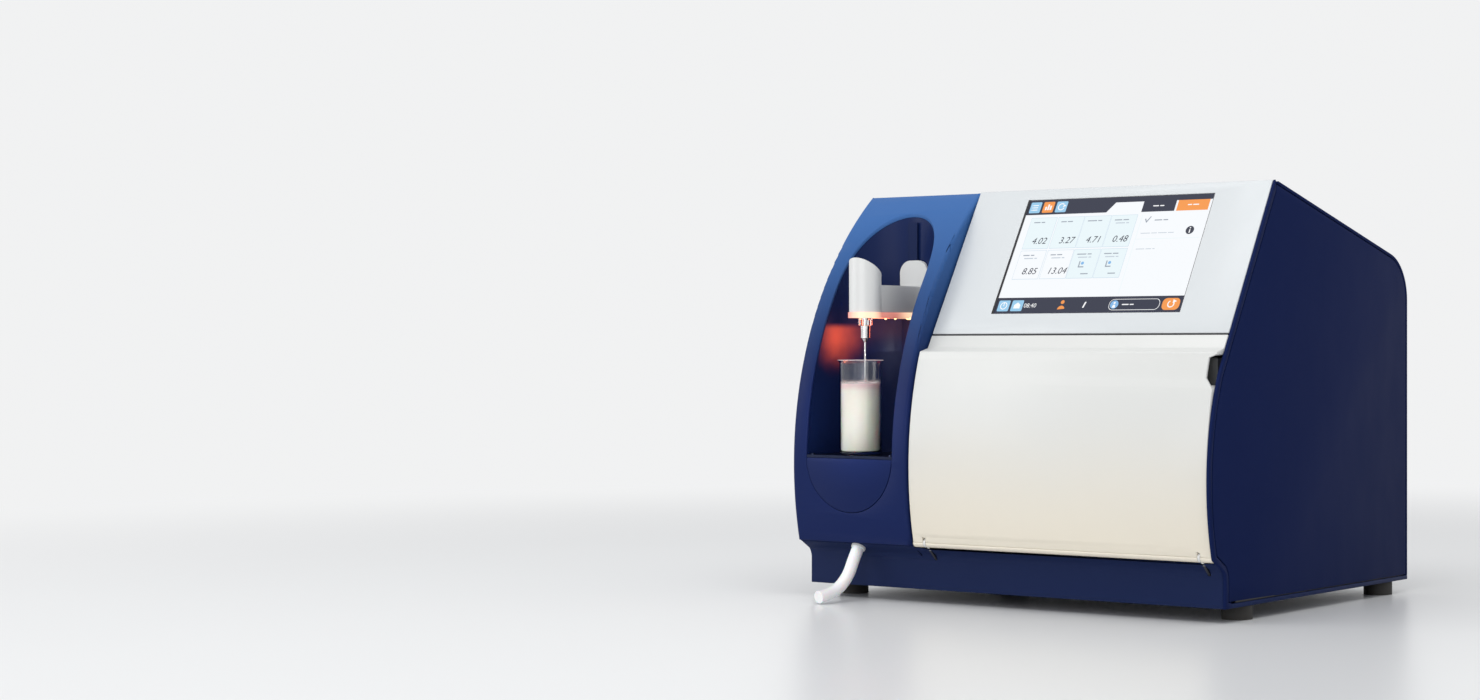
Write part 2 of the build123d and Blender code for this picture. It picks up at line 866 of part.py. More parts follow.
def pump_head():
    half = pump_plate / 2
    rear = pump_front_y
    plate_front = rear - pump_plate_thickness
    head = box(pump_x - 38, pump_x + half, plate_front, rear, pump_z - half, pump_z + half)
    outer = race_radius + race_wall
    ring = rod_y(pump_x, pump_z, outer, plate_front - race_length, plate_front)
    ring -= rod_y(pump_x, pump_z, race_radius, plate_front - race_length - 1, plate_front)
    ring -= box(pump_x - 60, pump_x + 60, plate_front - race_length - 1, plate_front, pump_z, pump_z + 60)
    return head + ring - rod_y(pump_x, pump_z, pump_shaft_radius + running, -80, 0)


def pump_cover():
    front = pump_front_y - pump_plate_thickness - race_length
    outer = race_radius + race_wall
    disc = rod_y(pump_x, pump_z, outer, front - pump_cover_thickness, front)
    top = box(pump_x - 60, pump_x + 60, front - 10, front + 1, pump_z + 12, pump_z + 60)
    return disc - top


def roller_places():
    reach = race_radius - 2 * tube_radius - 2 * tube_gap - roller_radius
    places = []
    for index in range(roller_count):
        angle = math.radians(90 + index * 360 / roller_count)
        places.append((pump_x + reach * math.cos(angle), pump_z + reach * math.sin(angle)))
    return places


def pump_rotor():
    plate_front = pump_front_y - pump_plate_thickness
    near = plate_front - race_length + 2
    far = plate_front - 2
    reach = race_radius - 2 * tube_radius - 2 * tube_gap - 0.5
    rotor = rod_y(pump_x, pump_z, rotor_hub_radius, near, far)
    for face in (near, far - 4):
        rotor += rod_y(pump_x, pump_z, reach - 1.0, face, face + 4)
    for x, z in roller_places():
        rotor -= rod_y(x, z, roller_radius + 0.4, near + 4, far - 4)
        rotor -= rod_y(x, z, 1.5, near, far)
    shaft = rod_y(pump_x, pump_z, pump_shaft_radius, near, chassis_rear_y + 16)
    return rotor + shaft


def pump_rollers():
    plate_front = pump_front_y - pump_plate_thickness
    near = plate_front - race_length + 2
    far = plate_front - 2
    rollers = []
    for x, z in roller_places():
        roller = rod_y(x, z, roller_radius, near + 4.2, far - 4.2)
        rollers.append(roller + rod_y(x, z, 1.5, near, far))
    return Compound(children=rollers)


def pump_motor():
    motor = rod_y(pump_x, pump_z, motor_radius, chassis_rear_y, chassis_rear_y + motor_length)
    return motor - rod_y(pump_x, pump_z, pump_shaft_radius + 0.3, chassis_rear_y - 1, chassis_rear_y + 18)


def tube(points, radii, radius):
    path = FilletPolyline(*points, radius=radii)
    start = path @ 0
    return sweep(Plane(origin=start, z_dir=path % 0) * Circle(radius), path=path)


def pump_tube():
    reach = race_radius - tube_radius - tube_gap
    y = pump_front_y - pump_plate_thickness - race_length / 2
    left = (pump_x - reach, y, pump_z)
    right = (pump_x + reach, y, pump_z)
    rise_left = Line((pump_x - reach, y, manifold_low_z), left)
    bend = ThreePointArc(left, (pump_x, y, pump_z - reach), right)
    rise_right = Line(right, (pump_x + reach, y, manifold_low_z))
    path = Wire([rise_left, bend, rise_right])
    return sweep(Plane(origin=(pump_x - reach, y, manifold_low_z), z_dir=(0, 0, -1)) * Circle(tube_radius), path=path)


def pump_manifold():
    y = pump_front_y - pump_plate_thickness - race_length / 2
    half = manifold_half_width
    return box(pump_x - half, pump_x + half, y - 9, pump_front_y, manifold_low_z, manifold_high_z)


def bottle_x(index):
    return first_bottle_x + index * bottle_spacing


def bottle_block(index, inset):
    x = bottle_x(index)
    z = bay_low_z + bay_sheet
    block = box(x + inset, x + bottle_width - inset, bottle_front_y + inset, bottle_front_y + bottle_depth - inset,
                z + inset, z + bottle_height - inset)
    return fillet(block.edges(), bottle_edge_radius - inset)


def liquid_bottles():
    bottles = []
    top = bay_low_z + bay_sheet + bottle_height
    for index in range(2):
        x, y = cap_centre(index)
        shell = bottle_block(index, 0) + rod_z(x, y, bottle_neck_radius, top - 4, top + bottle_neck_height)
        hollow = bottle_block(index, bottle_wall)
        hollow += rod_z(x, y, bottle_neck_radius - bottle_wall, top - 4, top + bottle_neck_height + 1)
        bottles.append(shell - hollow)
    return Compound(children=bottles)


def bottle_liquids():
    fills = []
    level = bay_low_z + bay_sheet + bottle_height * liquid_level
    for index in range(2):
        x = bottle_x(index)
        air = box(x, x + bottle_width, bottle_front_y, bottle_front_y + bottle_depth, level, bay_high_z)
        fills.append(bottle_block(index, bottle_wall) - air)
    return Compound(children=fills)


def cap_centre(index):
    return bottle_x(index) + bottle_width / 2, bottle_front_y + bottle_depth / 2


def bottle_caps():
    caps = []
    base = bay_low_z + bay_sheet + bottle_height
    neck_top = base + bottle_neck_height
    for index in range(2):
        x, y = cap_centre(index)
        cap = rod_z(x, y, bottle_cap_radius, base + 0.6, base + bottle_cap_height)
        cap -= rod_z(x, y, bottle_neck_radius + 0.2, base, neck_top)
        caps.append(cap)
    return Compound(children=caps)


def suction_tubes():
    base = bay_low_z + bay_sheet + bottle_height + bottle_cap_height
    end_x = pump_x + manifold_half_width
    near_y = pump_front_y - 12
    far_y = near_y - 14
    x0, y0 = cap_centre(0)
    x1, y1 = cap_centre(1)
    low = base + 2
    first = [(x0, y0, base), (x0, y0, base + 8), (end_x + 36, near_y, low), (end_x, near_y, low)]
    second = [(x1, y1, base), (x1, y1, base + 20), (end_x + 34, far_y, base + 18), (end_x + 16, far_y, low + 6),
              (end_x, far_y, low + 6)]
    return Compound(children=[tube(first, [5, 9], suction_radius), tube(second, [9, 9, 7], suction_radius)])


def inline_filter():
    y = pump_front_y - filter_reach
    half = filter_length / 2
    body = rod_z(filter_x, y, filter_radius, filter_z - half, filter_z + half)
    return body + rod_z(filter_x, y, filter_port_radius, filter_z - half - 12, filter_z + half + 12)


def rail_shape(grow, low, high):
    # Dovetail standing on the niche's back wall, wide at its front.
    front = niche_back_y - rail_thickness - grow
    back = niche_back_y + 1.5
    narrow = rail_narrow + grow - 1.2
    wide = rail_wide + grow
    plan = polygon((arm_x - wide, front), (arm_x + wide, front), (arm_x + narrow, back), (arm_x - narrow, back))
    return extrude(Pos(0, 0, low) * plan, amount=high - low)


def guide_rail():
    rail = rail_shape(0.0, rail_low_z, rail_high_z)
    return rail & extrude(Pos(0, 0, 100) * niche_plan(), amount=300)


def arm_carriage():
    # Slider on the rail, with the rounded shield that stands behind the arm.
    block = box(arm_x - carriage_half_width, arm_x + carriage_half_width, carriage_front_y, carriage_rear_y,
                carriage_low_z, arm_top_z)
    x = arm_x + shield_shift
    shield = box(x - shield_half_width, x + shield_half_width, carriage_front_y, shield_rear_y,
                 light_bottom_z, carriage_high_z)
    upper = shield.edges().filter_by(Axis.Y).sort_by(Axis.Z)[-2:]
    shield = fillet(upper, shield_corner)
    room = extrude(Pos(0, 0, 100) * niche_plan(-motion_gap), amount=300)
    return ((block + shield) & room) - rail_shape(rail_gap, 100, 400)


def arm_plan(grow=0.0, rear=None):
    end = carriage_front_y if rear is None else rear
    disc = Pos(arm_x, post_y) * Circle(post_radius + grow)
    bar = Pos(arm_x, (post_y + end) / 2) * Rectangle(2 * (arm_half_width + grow), end - post_y)
    return disc + bar


def arm_housing():
    bar = extrude(Pos(0, 0, arm_bottom_z) * arm_plan(), amount=arm_top_z - arm_bottom_z)
    post = rod_z(arm_x, post_y, post_radius, arm_bottom_z, post_top_z)
    scoop = Pos(arm_x, post_y - post_radius, post_top_z) * Rot(-post_scoop_angle, 0, 0) * box(-40, 40, -20, 80, 0, 60)
    hollow = extrude(Pos(0, 0, arm_bottom_z - 1) * arm_plan(-arm_shell, carriage_front_y - arm_shell),
                     amount=arm_top_z - arm_bottom_z - arm_shell + 1)
    return bar + (post - scoop) - hollow


def light_plate():
    plate = extrude(Pos(0, 0, light_bottom_z) * arm_plan(light_plate_rim), amount=light_plate_thickness)
    return plate - rod_z(arm_x, post_y, stem_radius, 200, 300)


def needle_collar():
    ring = rod_z(arm_x, post_y, collar_radius, collar_low_z, light_bottom_z)
    ring -= rod_z(arm_x, post_y, chuck_radius + 0.4, collar_low_z - 1, light_bottom_z - 1.6)
    ring -= rod_z(arm_x, post_y, stem_radius, 200, 300)
    for angle in (0, 90):
        slot = box(-2.4, 2.4, -9, 9, collar_low_z - 1, light_bottom_z - 1.8)
        ring -= Pos(arm_x, post_y, 0) * Rot(0, 0, angle) * slot
    return ring


def needle_chuck():
    chuck = rod_z(arm_x, post_y, chuck_radius, chuck_low_z, chuck_high_z)
    cone_height = chuck_low_z - cone_low_z
    cone = Pos(arm_x, post_y, chuck_low_z - cone_height / 2) * Cone(needle_radius + 0.5, chuck_radius, cone_height)
    stem = rod_z(arm_x, post_y, stem_radius, chuck_high_z, stem_top_z)
    return chuck + cone + stem - rod_z(arm_x, post_y, needle_radius, 200, chuck_high_z - 2)


def intake_needle():
    needle = rod_z(arm_x, post_y, needle_radius, needle_low_z, chuck_high_z - 2)
    return needle - rod_z(arm_x, post_y, needle_bore_radius, needle_low_z - 1, chuck_high_z)


def beaker():
    base = shelf_top_z + beaker_lift
    outer = rod_z(beaker_x, beaker_y, beaker_radius, base, base + beaker_height)
    flare = Pos(beaker_x, beaker_y, base + beaker_height - beaker_lip_height / 2)
    outer += flare * Cone(beaker_radius, beaker_rim_radius, beaker_lip_height)
    inner = rod_z(beaker_x, beaker_y, beaker_radius - beaker_wall, base + beaker_floor, base + 120)
    return fillet(outer.edges().sort_by(Axis.Z)[0], 1.5) - inner


def milk():
    # In blocks set face to face round the needle's slot, so each is a plain convex shape.
    # The needle stays still while the beaker slides forward.
    base = shelf_top_z + beaker_lift + beaker_floor
    body = rod_z(beaker_x, beaker_y, beaker_radius - beaker_wall - running, base, milk_level_z)
    side = needle_radius + motion_gap
    slot_low_z = needle_low_z - motion_gap
    left = beaker_x - beaker_radius
    right = beaker_x + beaker_radius
    front = beaker_y - beaker_radius
    back = beaker_y + beaker_radius
    slot_back_y = post_y + beaker_travel + side
    blocks = [
        box(left, right, front, back, base, slot_low_z),
        box(left, arm_x - side, front, back, slot_low_z, milk_level_z),
        box(arm_x + side, right, front, back, slot_low_z, milk_level_z),
        box(arm_x - side, arm_x + side, front, post_y - side, slot_low_z, milk_level_z),
        box(arm_x - side, arm_x + side, slot_back_y, back, slot_low_z, milk_level_z),
    ]
    return Compound(children=[body & block for block in blocks])


def optics_base():
    return box(optics_left, optics_right, optics_front_y, optics_rear_y, optics_base_z,
               optics_base_z + optics_base_thickness)


def optics_isolators():
    pads = []
    for x in (optics_left + 14, optics_right - 14):
        for y in (optics_front_y + 60, optics_rear_y - 14):
            pads.append(rod_z(x, y, isolator_radius, floor_z, optics_base_z))
    return Compound(children=pads)


def interferometer():
    low = optics_base_z + optics_base_thickness
    block = box(optics_left + 6, optics_left + 106, 24, optics_rear_y - 8, low, low + block_height)
    block += rod_z(optics_left + 56, 72, 32, low + block_height, low + block_height + 16)
    return fillet(block.edges().filter_by(Axis.Z), 5)


def infrared_source():
    low = optics_base_z + optics_base_thickness
    x = optics_left + 106
    body = rod_x(94, low + 40, source_radius - 5, x, x + source_length)
    for index in range(5):
        start = x + 5 + index * 6
        body += rod_x(94, low + 40, source_radius, start, start + 3)
    return body + box(x + 8, x + 26, 86, 102, low, low + 30)


def flow_cell():
    low = optics_base_z + optics_base_thickness
    x = optics_left + 106
    return box(x, x + 24, 30, 66, low, low + 56)


def detector():
    low = optics_base_z + optics_base_thickness
    x = optics_left + 130
    barrel = rod_x(48, low + 32, detector_radius, x, x + detector_length)
    return barrel + box(x + 8, x + 30, 42, 54, low, low + 24)


def mainboard():
    rear = chassis_rear_y + board_boss_height
    front = rear + board_thickness
    board = box(board_left, board_right, rear, front, board_low_z, board_high_z)
    for x, z, across, tall, thick in board_chips:
        left = board_left + x
        low = board_low_z + z
        board += box(left, left + across, front, front + thick, low, low + tall)
    return board


def power_supply():
    right = cheek_left - chassis_side_sheet
    front = supply_rear_y - supply_length
    return box(right - supply_width, right, front, supply_rear_y, floor_z, floor_z + supply_height)


def fan_frame():
    half = fan_size / 2
    y1 = cover_inner_rear_y
    y0 = y1 - fan_depth
    frame = box(fan_x - half, fan_x + half, y0, y1, fan_z - half, fan_z + half)
    frame -= rod_y(fan_x, fan_z, fan_bore_radius, y0 - 1, y1 + 1)
    frame += rod_y(fan_x, fan_z, fan_hub_radius, y0, y0 + 4)
    for angle in (45, 135, 225, 315):
        spoke = box(fan_hub_radius - 1, fan_bore_radius + 2, y0, y0 + 4, -2.5, 2.5)
        frame += Pos(fan_x, 0, fan_z) * Rot(0, angle, 0) * spoke
    return frame + rod_y(fan_x, fan_z, 2.0, y0, y0 + 18)


def fan_rotor():
    y0 = cover_inner_rear_y - fan_depth + 4.6
    y1 = cover_inner_rear_y - 2
    rotor = rod_y(fan_x, fan_z, fan_hub_radius, y0, y1)
    middle = (y0 + y1) / 2
    for index in range(fan_blades):
        angle = index * 360 / fan_blades
        blade = Pos(26, 0, 0) * Rot(40, 0, 0) * box(-12.5, 9.5, -9, 9, -0.9, 0.9)
        rotor += Pos(fan_x, middle, fan_z) * Rot(0, angle, 0) * blade
    rotor &= rod_y(fan_x, fan_z, fan_blade_radius, y0, y1)
    return rotor - rod_y(fan_x, fan_z, 2.0 + running, y0 - 1, y0 + 14)


def rear_panel():
    y0 = cover_inner_rear_y - rear_plate_sheet
    plate = box(rear_window_left - 8, rear_window_right + 6, y0, cover_inner_rear_y,
                rear_window_low_z - 8, rear_window_high_z + 8)
    plate -= box(inlet_x - 13.5, inlet_x + 13.5, y0 - 1, rear_y, inlet_z - 10, inlet_z + 10)
    plate -= box(switch_x - 11.5, switch_x + 11.5, y0 - 1, rear_y, inlet_z - 14, inlet_z + 14)
    return plate - box(ports_x - 20, ports_x + 20, y0 - 1, rear_y, inlet_z - 8, inlet_z + 8)


def power_entry():
    # Mains inlet and the housing of the rocker beside it, moulded as one.
    y0 = cover_inner_rear_y
    y1 = rear_y - 1.0
    entry = box(inlet_x - 17, inlet_x + 17, y0, y1, inlet_z - 17, inlet_z + 17)
    entry += box(inlet_x - 13.4, inlet_x + 13.4, y0 - 24, y1, inlet_z - 9.9, inlet_z + 9.9)
    entry -= box(inlet_x - 12, inlet_x + 12, y0 - 15, rear_y + 1, inlet_z - 8.2, inlet_z + 8.2)
    for x, z in ((-7, 0), (7, 0), (0, 4)):
        entry += box(inlet_x + x - 1, inlet_x + x + 1, y0 - 16, y0 - 1, inlet_z + z - 2.5, inlet_z + z + 2.5)
    half = rocker_width / 2
    entry += box(switch_x - 15, switch_x + 15, y0, y1, inlet_z - 17, inlet_z + 17)
    entry += box(switch_x - 11.4, switch_x + 11.4, y0 - 20, y1, inlet_z - 13.9, inlet_z + 13.9)
    cavity_half = rocker_radius + 0.8
    entry -= box(switch_x - half, switch_x + half, y0 - 17, rear_y + 1, inlet_z - cavity_half, inlet_z + cavity_half)
    return entry + rod_x(y0 - rocker_axis_depth, inlet_z, rocker_pin_radius, switch_x - half - 1, switch_x + half + 1)


def power_rocker():
    axis_y = cover_inner_rear_y - rocker_axis_depth
    half = rocker_width / 2 - 0.4
    rocker = rod_x(axis_y, inlet_z, rocker_radius, switch_x - half, switch_x + half)
    rocker &= box(switch_x - half, switch_x + half, axis_y - 3.5, rear_y + 4, inlet_z - 20, inlet_z + 20)
    face = Rot(rocker_tilt, 0, 0) * box(-half - 1, half + 1, rocker_face, 40, -30, 30)
    rocker -= Pos(switch_x, axis_y, inlet_z) * face
    return rocker - rod_x(axis_y, inlet_z, rocker_pin_radius + running, switch_x - half - 1, switch_x + half + 1)


def data_ports():
    y0 = cover_inner_rear_y
    body = box(ports_x - 19.8, ports_x + 19.8, y0 - 18, rear_y - 1.6, inlet_z - 7.8, inlet_z + 7.8)
    body -= box(ports_x - 17, ports_x - 1, y0 - 11, rear_y + 1, inlet_z - 6.2, inlet_z + 6.2)
    for z in (-6.0, 1.0):
        body -= box(ports_x + 3, ports_x + 17, y0 - 11, rear_y + 1, inlet_z + z, inlet_z + z + 5)
    return body


def cover_screws():
    screws = []
    for x in screw_places_x:
        shank = rod_y(x, screw_z, screw_radius, cover_inner_rear_y, rear_y)
        head = rod_y(x, screw_z, screw_head_radius, rear_y - screw_head_height, rear_y)
        screws.append(shank + head)
    return Compound(children=screws)


def drain_frame():
    # Middle of the cove's sloping underside, looking out along its normal.
    y = kink_y + drain_place * (cove_bend_y - kink_y)
    z = kink_z + drain_place * (cove_top_z - kink_z)
    slope = math.atan2(kink_z - cove_top_z, cove_bend_y - kink_y)
    return Location(Plane(origin=(drain_x, y, z), x_dir=(1, 0, 0), z_dir=(0, -math.sin(slope), -math.cos(slope))))


def drain_fitting():
    frame = drain_frame()
    flange = Pos(0, 0, drain_flange_thickness / 2) * Cylinder(drain_flange_radius, drain_flange_thickness)
    barrel = Pos(0, 0, -drain_barrel_length / 2) * Cylinder(drain_barrel_radius, drain_barrel_length)
    return frame * (flange + barrel)


def drain_points():
    # The hose's route from its fitting down to the bench, chosen by eye.
    start = (drain_frame() * Pos(0, 0, drain_flange_thickness)).position
    turn = (drain_frame() * Pos(0, 0, drain_flange_thickness + drain_first_run)).position
    return [
        (start.X, start.Y, start.Z),
        (turn.X, turn.Y, turn.Z),
        (-167.3, -184.2, 27.4),
        (-167.8, -192.2, 18.5),
        (-168.6, -202.1, 11.8),
        (-169.7, -213.6, 8.3),
        (-171.0, -225.0, 7.1),
    ]


def route_radii(points):
    # Each bend is as large as its two runs allow.
    spots = [Vector(*point) for point in points]
    radii = []
    for before, corner, after in zip(spots, spots[1:], spots[2:]):
        turn = (corner - before).get_angle(after - corner)
        run = min((corner - before).length, (after - corner).length)
        radii.append(0.45 * run / math.tan(math.radians(turn / 2)))
    return radii


def drain_hose():
    points = drain_points()
    radii = route_radii(points)
    print("drain hose radii", [round(radius, 1) for radius in radii])
    hose = tube(points, radii, hose_radius)
    path = FilletPolyline(*points, radius=radii)
    section = math.pi * hose_radius ** 2
    print("drain hose length", round(path.length, 1), "volume ratio", round(hose.volume / (section * path.length), 4))
    return hose


sub_parts = (
    base_tray, feet, front_frame, sample_module, niche_liner, sample_shelf, drip_insert, screen_panel,
    display_glass, display_gasket, display_module, door_skin, door_liner, door_strikes, door_magnets,
    hinge_brackets, hinge_pins, top_rear_cover, side_cover_right, side_cover_left, cover_screws, chassis,
    bay_liner, pump_head, pump_cover, pump_rotor, pump_rollers, pump_motor, pump_tube, pump_manifold,
    liquid_bottles, bottle_liquids, bottle_caps, suction_tubes, inline_filter, guide_rail, arm_carriage,
    arm_housing, light_plate, needle_collar, needle_chuck, intake_needle, beaker, milk,
    optics_base, optics_isolators, interferometer, infrared_source, flow_cell, detector, mainboard,
    power_supply, fan_frame, fan_rotor, rear_panel, power_entry, power_rocker, data_ports, drain_fitting,
    drain_hose,
)

for make in sub_parts:
    export_step(make(), "parts/" + make.__name__ + ".step")
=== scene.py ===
import bpy
import bmesh
import math
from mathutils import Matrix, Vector


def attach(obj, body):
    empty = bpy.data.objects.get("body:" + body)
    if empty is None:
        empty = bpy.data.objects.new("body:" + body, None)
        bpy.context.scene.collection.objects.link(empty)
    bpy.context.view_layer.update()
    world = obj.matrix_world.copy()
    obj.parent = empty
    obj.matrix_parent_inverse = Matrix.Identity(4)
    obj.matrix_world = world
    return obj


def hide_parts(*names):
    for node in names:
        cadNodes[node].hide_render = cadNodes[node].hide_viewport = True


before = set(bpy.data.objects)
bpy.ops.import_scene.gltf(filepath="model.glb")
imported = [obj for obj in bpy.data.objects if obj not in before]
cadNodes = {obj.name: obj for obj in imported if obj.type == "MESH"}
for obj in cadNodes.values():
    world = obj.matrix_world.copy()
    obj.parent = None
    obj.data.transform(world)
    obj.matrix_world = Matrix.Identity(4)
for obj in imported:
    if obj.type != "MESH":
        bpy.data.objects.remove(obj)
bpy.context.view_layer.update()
print("frame loaded with", len(cadNodes), "nodes")

# Camera, held level, at the photograph's viewing angle
cameraLook = {"place": (1.3573, -2.0337, 0.2402), "turn": 33.566, "lens": 60.97,
              "shift": (-0.25, -0.0009), "near": 0.05}
cameraData = bpy.data.cameras.new("viewCamera")
cameraData.lens = cameraLook["lens"]
cameraData.shift_x, cameraData.shift_y = cameraLook["shift"]
cameraData.clip_start = cameraLook["near"]
camera = bpy.data.objects.new("viewCamera", cameraData)
camera.location = cameraLook["place"]
camera.rotation_euler = (math.radians(90), 0, math.radians(cameraLook["turn"]))
bpy.context.scene.collection.objects.link(camera)
bpy.context.scene.camera = camera
bpy.context.scene.view_settings.view_transform = "Standard"
print("camera set")


# Small tools
class Wire:
    # One output socket, so that sums on values read as plain expressions
    def __init__(self, finish, socket):
        self.finish, self.socket = finish, socket

    def sum(self, operation, first, second):
        return self.finish.node("Math", {"operation": operation}, {0: first, 1: second})

    def __add__(self, other):
        return self.sum("ADD", self, other)

    __radd__ = __add__

    def __sub__(self, other):
        return self.sum("SUBTRACT", self, other)

    def __rsub__(self, other):
        return self.sum("SUBTRACT", other, self)

    def __mul__(self, other):
        return self.sum("MULTIPLY", self, other)

    __rmul__ = __mul__

    def __pow__(self, other):
        return self.sum("POWER", self, other)


class Finish:
    # One material: node() adds any node, and the rest are the few mixes used here
    def __init__(self, name, **sockets):
        self.material = bpy.data.materials.new(name)
        self.material.use_nodes = True
        self.tree = self.material.node_tree
        self.shader = self.tree.nodes["Principled BSDF"]
        self.set(**sockets)

    def set(self, **sockets):
        for key, value in sockets.items():
            socket = self.shader.inputs[key.replace("_", " ")]
            if isinstance(value, Wire):
                self.tree.links.new(value.socket, socket)
            elif isinstance(value, tuple) and len(value) == 3 and socket.type == "RGBA":
                socket.default_value = (*value, 1)
            else:
                socket.default_value = value

    def node(self, kind, settings=None, values=None, out=0):
        made = self.tree.nodes.new("ShaderNode" + kind)
        for key, value in (settings or {}).items():
            setattr(made, key, value)
        for key, value in (values or {}).items():
            if isinstance(value, Wire):
                self.tree.links.new(value.socket, made.inputs[key])
            elif isinstance(value, tuple) and len(value) == 3 and made.inputs[key].type == "RGBA":
                made.inputs[key].default_value = (*value, 1)
            else:
                made.inputs[key].default_value = value
        return Wire(self, made.outputs[out])

    def place(self):
        return self.node("TexCoord", out="Object")

    def axis(self, letter):
        return self.node("SeparateXYZ", None, {0: self.place()}, letter)

    def reach(self, centre, spot=None):
        # Distance in metres from a point of the object
        return self.node("VectorMath", {"operation": "DISTANCE"}, {0: spot or self.place(), 1: centre}, "Value")

    def noise(self, scale, detail=3.0, stretch=None):
        spot = self.place()
        if stretch:
            spot = self.node("Mapping", None, {"Vector": spot, "Scale": stretch})
        return self.node("TexNoise", None, {"Vector": spot, "Scale": scale, "Detail": detail})

    def cells(self, scale):
        return self.node("TexVoronoi", None, {"Vector": self.place(), "Scale": scale})

    def step(self, value, low, high, start=0.0, end=1.0):
        return self.node("MapRange", {"interpolation_type": "SMOOTHSTEP"},
                         {0: value, 1: low, 2: high, 3: start, 4: end})

    def mix(self, share, first, second):
        # Sockets 6 and 7 are the Mix node's two colours, and output 2 its colour
        return self.node("Mix", {"data_type": "RGBA"}, {0: share, 6: first, 7: second}, 2)

    def bump(self, height, strength, depth):
        return self.node("Bump", None, {"Height": height, "Strength": strength, "Distance": depth})


def tint(colour, factor):
    return tuple(min(1.0, part * factor) for part in colour)


def finishMesh(name, bm, finish, smooth=32):
    bmesh.ops.recalc_face_normals(bm, faces=bm.faces)
    mesh = bpy.data.meshes.new(name)
    bm.to_mesh(mesh)
    bm.free()
    return place(name, mesh, finish, smooth)


def place(name, mesh, finish, smooth=32):
    mesh.materials.clear()
    mesh.materials.append(finish.material)
    if smooth is not None:
        mesh.shade_smooth()
        mesh.set_sharp_from_angle(angle=math.radians(smooth))
    piece = bpy.data.objects.new(name, mesh)
    bpy.context.scene.collection.objects.link(piece)
    return piece


def belongs(piece, body, slot, *replaced):
    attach(piece, body)
    if replaced:
        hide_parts(*replaced)
    return piece


# Lengths in metres and angles in degrees; an edge shorter than "least" widths stays sharp
easeLook = {"join": 2e-6, "flat": 0.6, "fold": 26, "least": 3.0, "rounds": 2, "smooth": 38}


def softened(node, width, finish, body, slot):
    # The node's own shape with its sharp edges eased, so they catch a thin line of light
    bm = bmesh.new()
    bm.from_mesh(cadNodes[node].data)
    bmesh.ops.remove_doubles(bm, verts=bm.verts, dist=easeLook["join"])
    bmesh.ops.dissolve_limit(bm, angle_limit=math.radians(easeLook["flat"]), verts=bm.verts, edges=bm.edges)
    edges = []
    for edge in bm.edges:
        if len(edge.link_faces) == 2 and edge.calc_length() > easeLook["least"] * width:
            if edge.calc_face_angle(0) > math.radians(easeLook["fold"]):
                edges.append(edge)
    bmesh.ops.bevel(bm, geom=edges, offset=width, offset_type="OFFSET", segments=easeLook["rounds"],
                    profile=0.5, affect="EDGES", clamp_overlap=False)
    piece = finishMesh(node + "_eased", bm, finish, easeLook["smooth"])
    return belongs(piece, body, slot, node)


def turned(name, profile, centre, finish, steps=96, smooth=32):
    # A profile of radius and height, in mm, turned about an upright axis
    bm = bmesh.new()
    rings = []
    for radius, z in profile:
        ring = []
        for index in range(steps if radius > 0 else 1):
            angle = 2 * math.pi * index / steps
            ring.append(bm.verts.new(((centre[0] + radius * math.cos(angle)) / 1000,
                                      (centre[1] + radius * math.sin(angle)) / 1000, z / 1000)))
        rings.append(ring)
    for low, high in zip(rings, rings[1:]):
        for index in range(steps):
            after = (index + 1) % steps
            if len(low) == 1:
                bm.faces.new((low[0], high[after], high[index]))
            elif len(high) == 1:
                bm.faces.new((low[index], low[after], high[0]))
            else:
                bm.faces.new((low[index], low[after], high[after], high[index]))
    return finishMesh(name, bm, finish, smooth)


# Finishes: texture scales count per metre, and bump depths are metres
mouldLook = {"coatRough": 0.18, "cloud": 7.0, "smear": 38.0, "smearDraw": (1, 1, 0.35), "smearShare": 0.14,
             "speck": 2100.0, "wave": 160.0, "waveShare": 0.35, "bump": 0.35, "depth": 0.00012,
             "paintedLightRagged": 0.03}


def moulding(name, colour, rough, grain, gloss, paintedLightFade=None, mottle=0.05, shine=0.5):
    # Satin injection moulding: fine spark grain, faint clouding, smears that change the gloss
    finish = Finish(name, Coat_Weight=gloss, Coat_Roughness=mouldLook["coatRough"], Specular_IOR_Level=shine)
    cloud = finish.noise(mouldLook["cloud"], 3)
    smear = finish.noise(mouldLook["smear"], 4, mouldLook["smearDraw"])
    base = finish.mix(cloud, tint(colour, 1 - mottle), tint(colour, 1 + mottle))
    # Painted light: below the height band from low to high the colour fades to other, so upper and lower parts look
    # lit differently
    if paintedLightFade:
        low, high, other = paintedLightFade
        share = finish.step(finish.axis("Z") + (cloud - 0.5) * mouldLook["paintedLightRagged"], low, high)
        base = finish.mix(share, other, base)
    finish.set(Base_Color=base, Roughness=rough + (smear - 0.5) * mouldLook["smearShare"])
    height = finish.noise(mouldLook["speck"], 2) * grain + finish.noise(mouldLook["wave"], 1) * mouldLook["waveShare"]
    finish.set(Normal=finish.bump(height, mouldLook["bump"], mouldLook["depth"]))
    return finish


steelLook = {"dark": 0.86, "bright": 1.1, "roughShare": 0.16, "bump": 0.25}


def steel(name, colour, rough, brush, scale, depth=0.00006):
    # Brushed across the axis that has the largest number in brush
    finish = Finish(name, Metallic=1.0)
    line = finish.noise(scale, 4, brush)
    finish.set(Base_Color=finish.mix(line, tint(colour, steelLook["dark"]), tint(colour, steelLook["bright"])))
    finish.set(Roughness=rough + (line - 0.5) * steelLook["roughShare"])
    finish.set(Normal=finish.bump(line, steelLook["bump"], depth))
    return finish


clearLook = {"film": 60.0, "dim": 0.97, "roughShare": 0.03}


def clear(name, colour, rough, ior, through=1.0, shine=0.5):
    finish = Finish(name, IOR=ior, Transmission_Weight=through, Specular_IOR_Level=shine)
    film = finish.noise(clearLook["film"], 4)
    finish.set(Base_Color=finish.mix(film, tint(colour, clearLook["dim"]), colour))
    finish.set(Roughness=rough + film * clearLook["roughShare"])
    return finish


glowingLook = {"unlit": (0.01, 0.01, 0.012), "rough": 0.16, "shade": 420.0, "dim": 0.985}


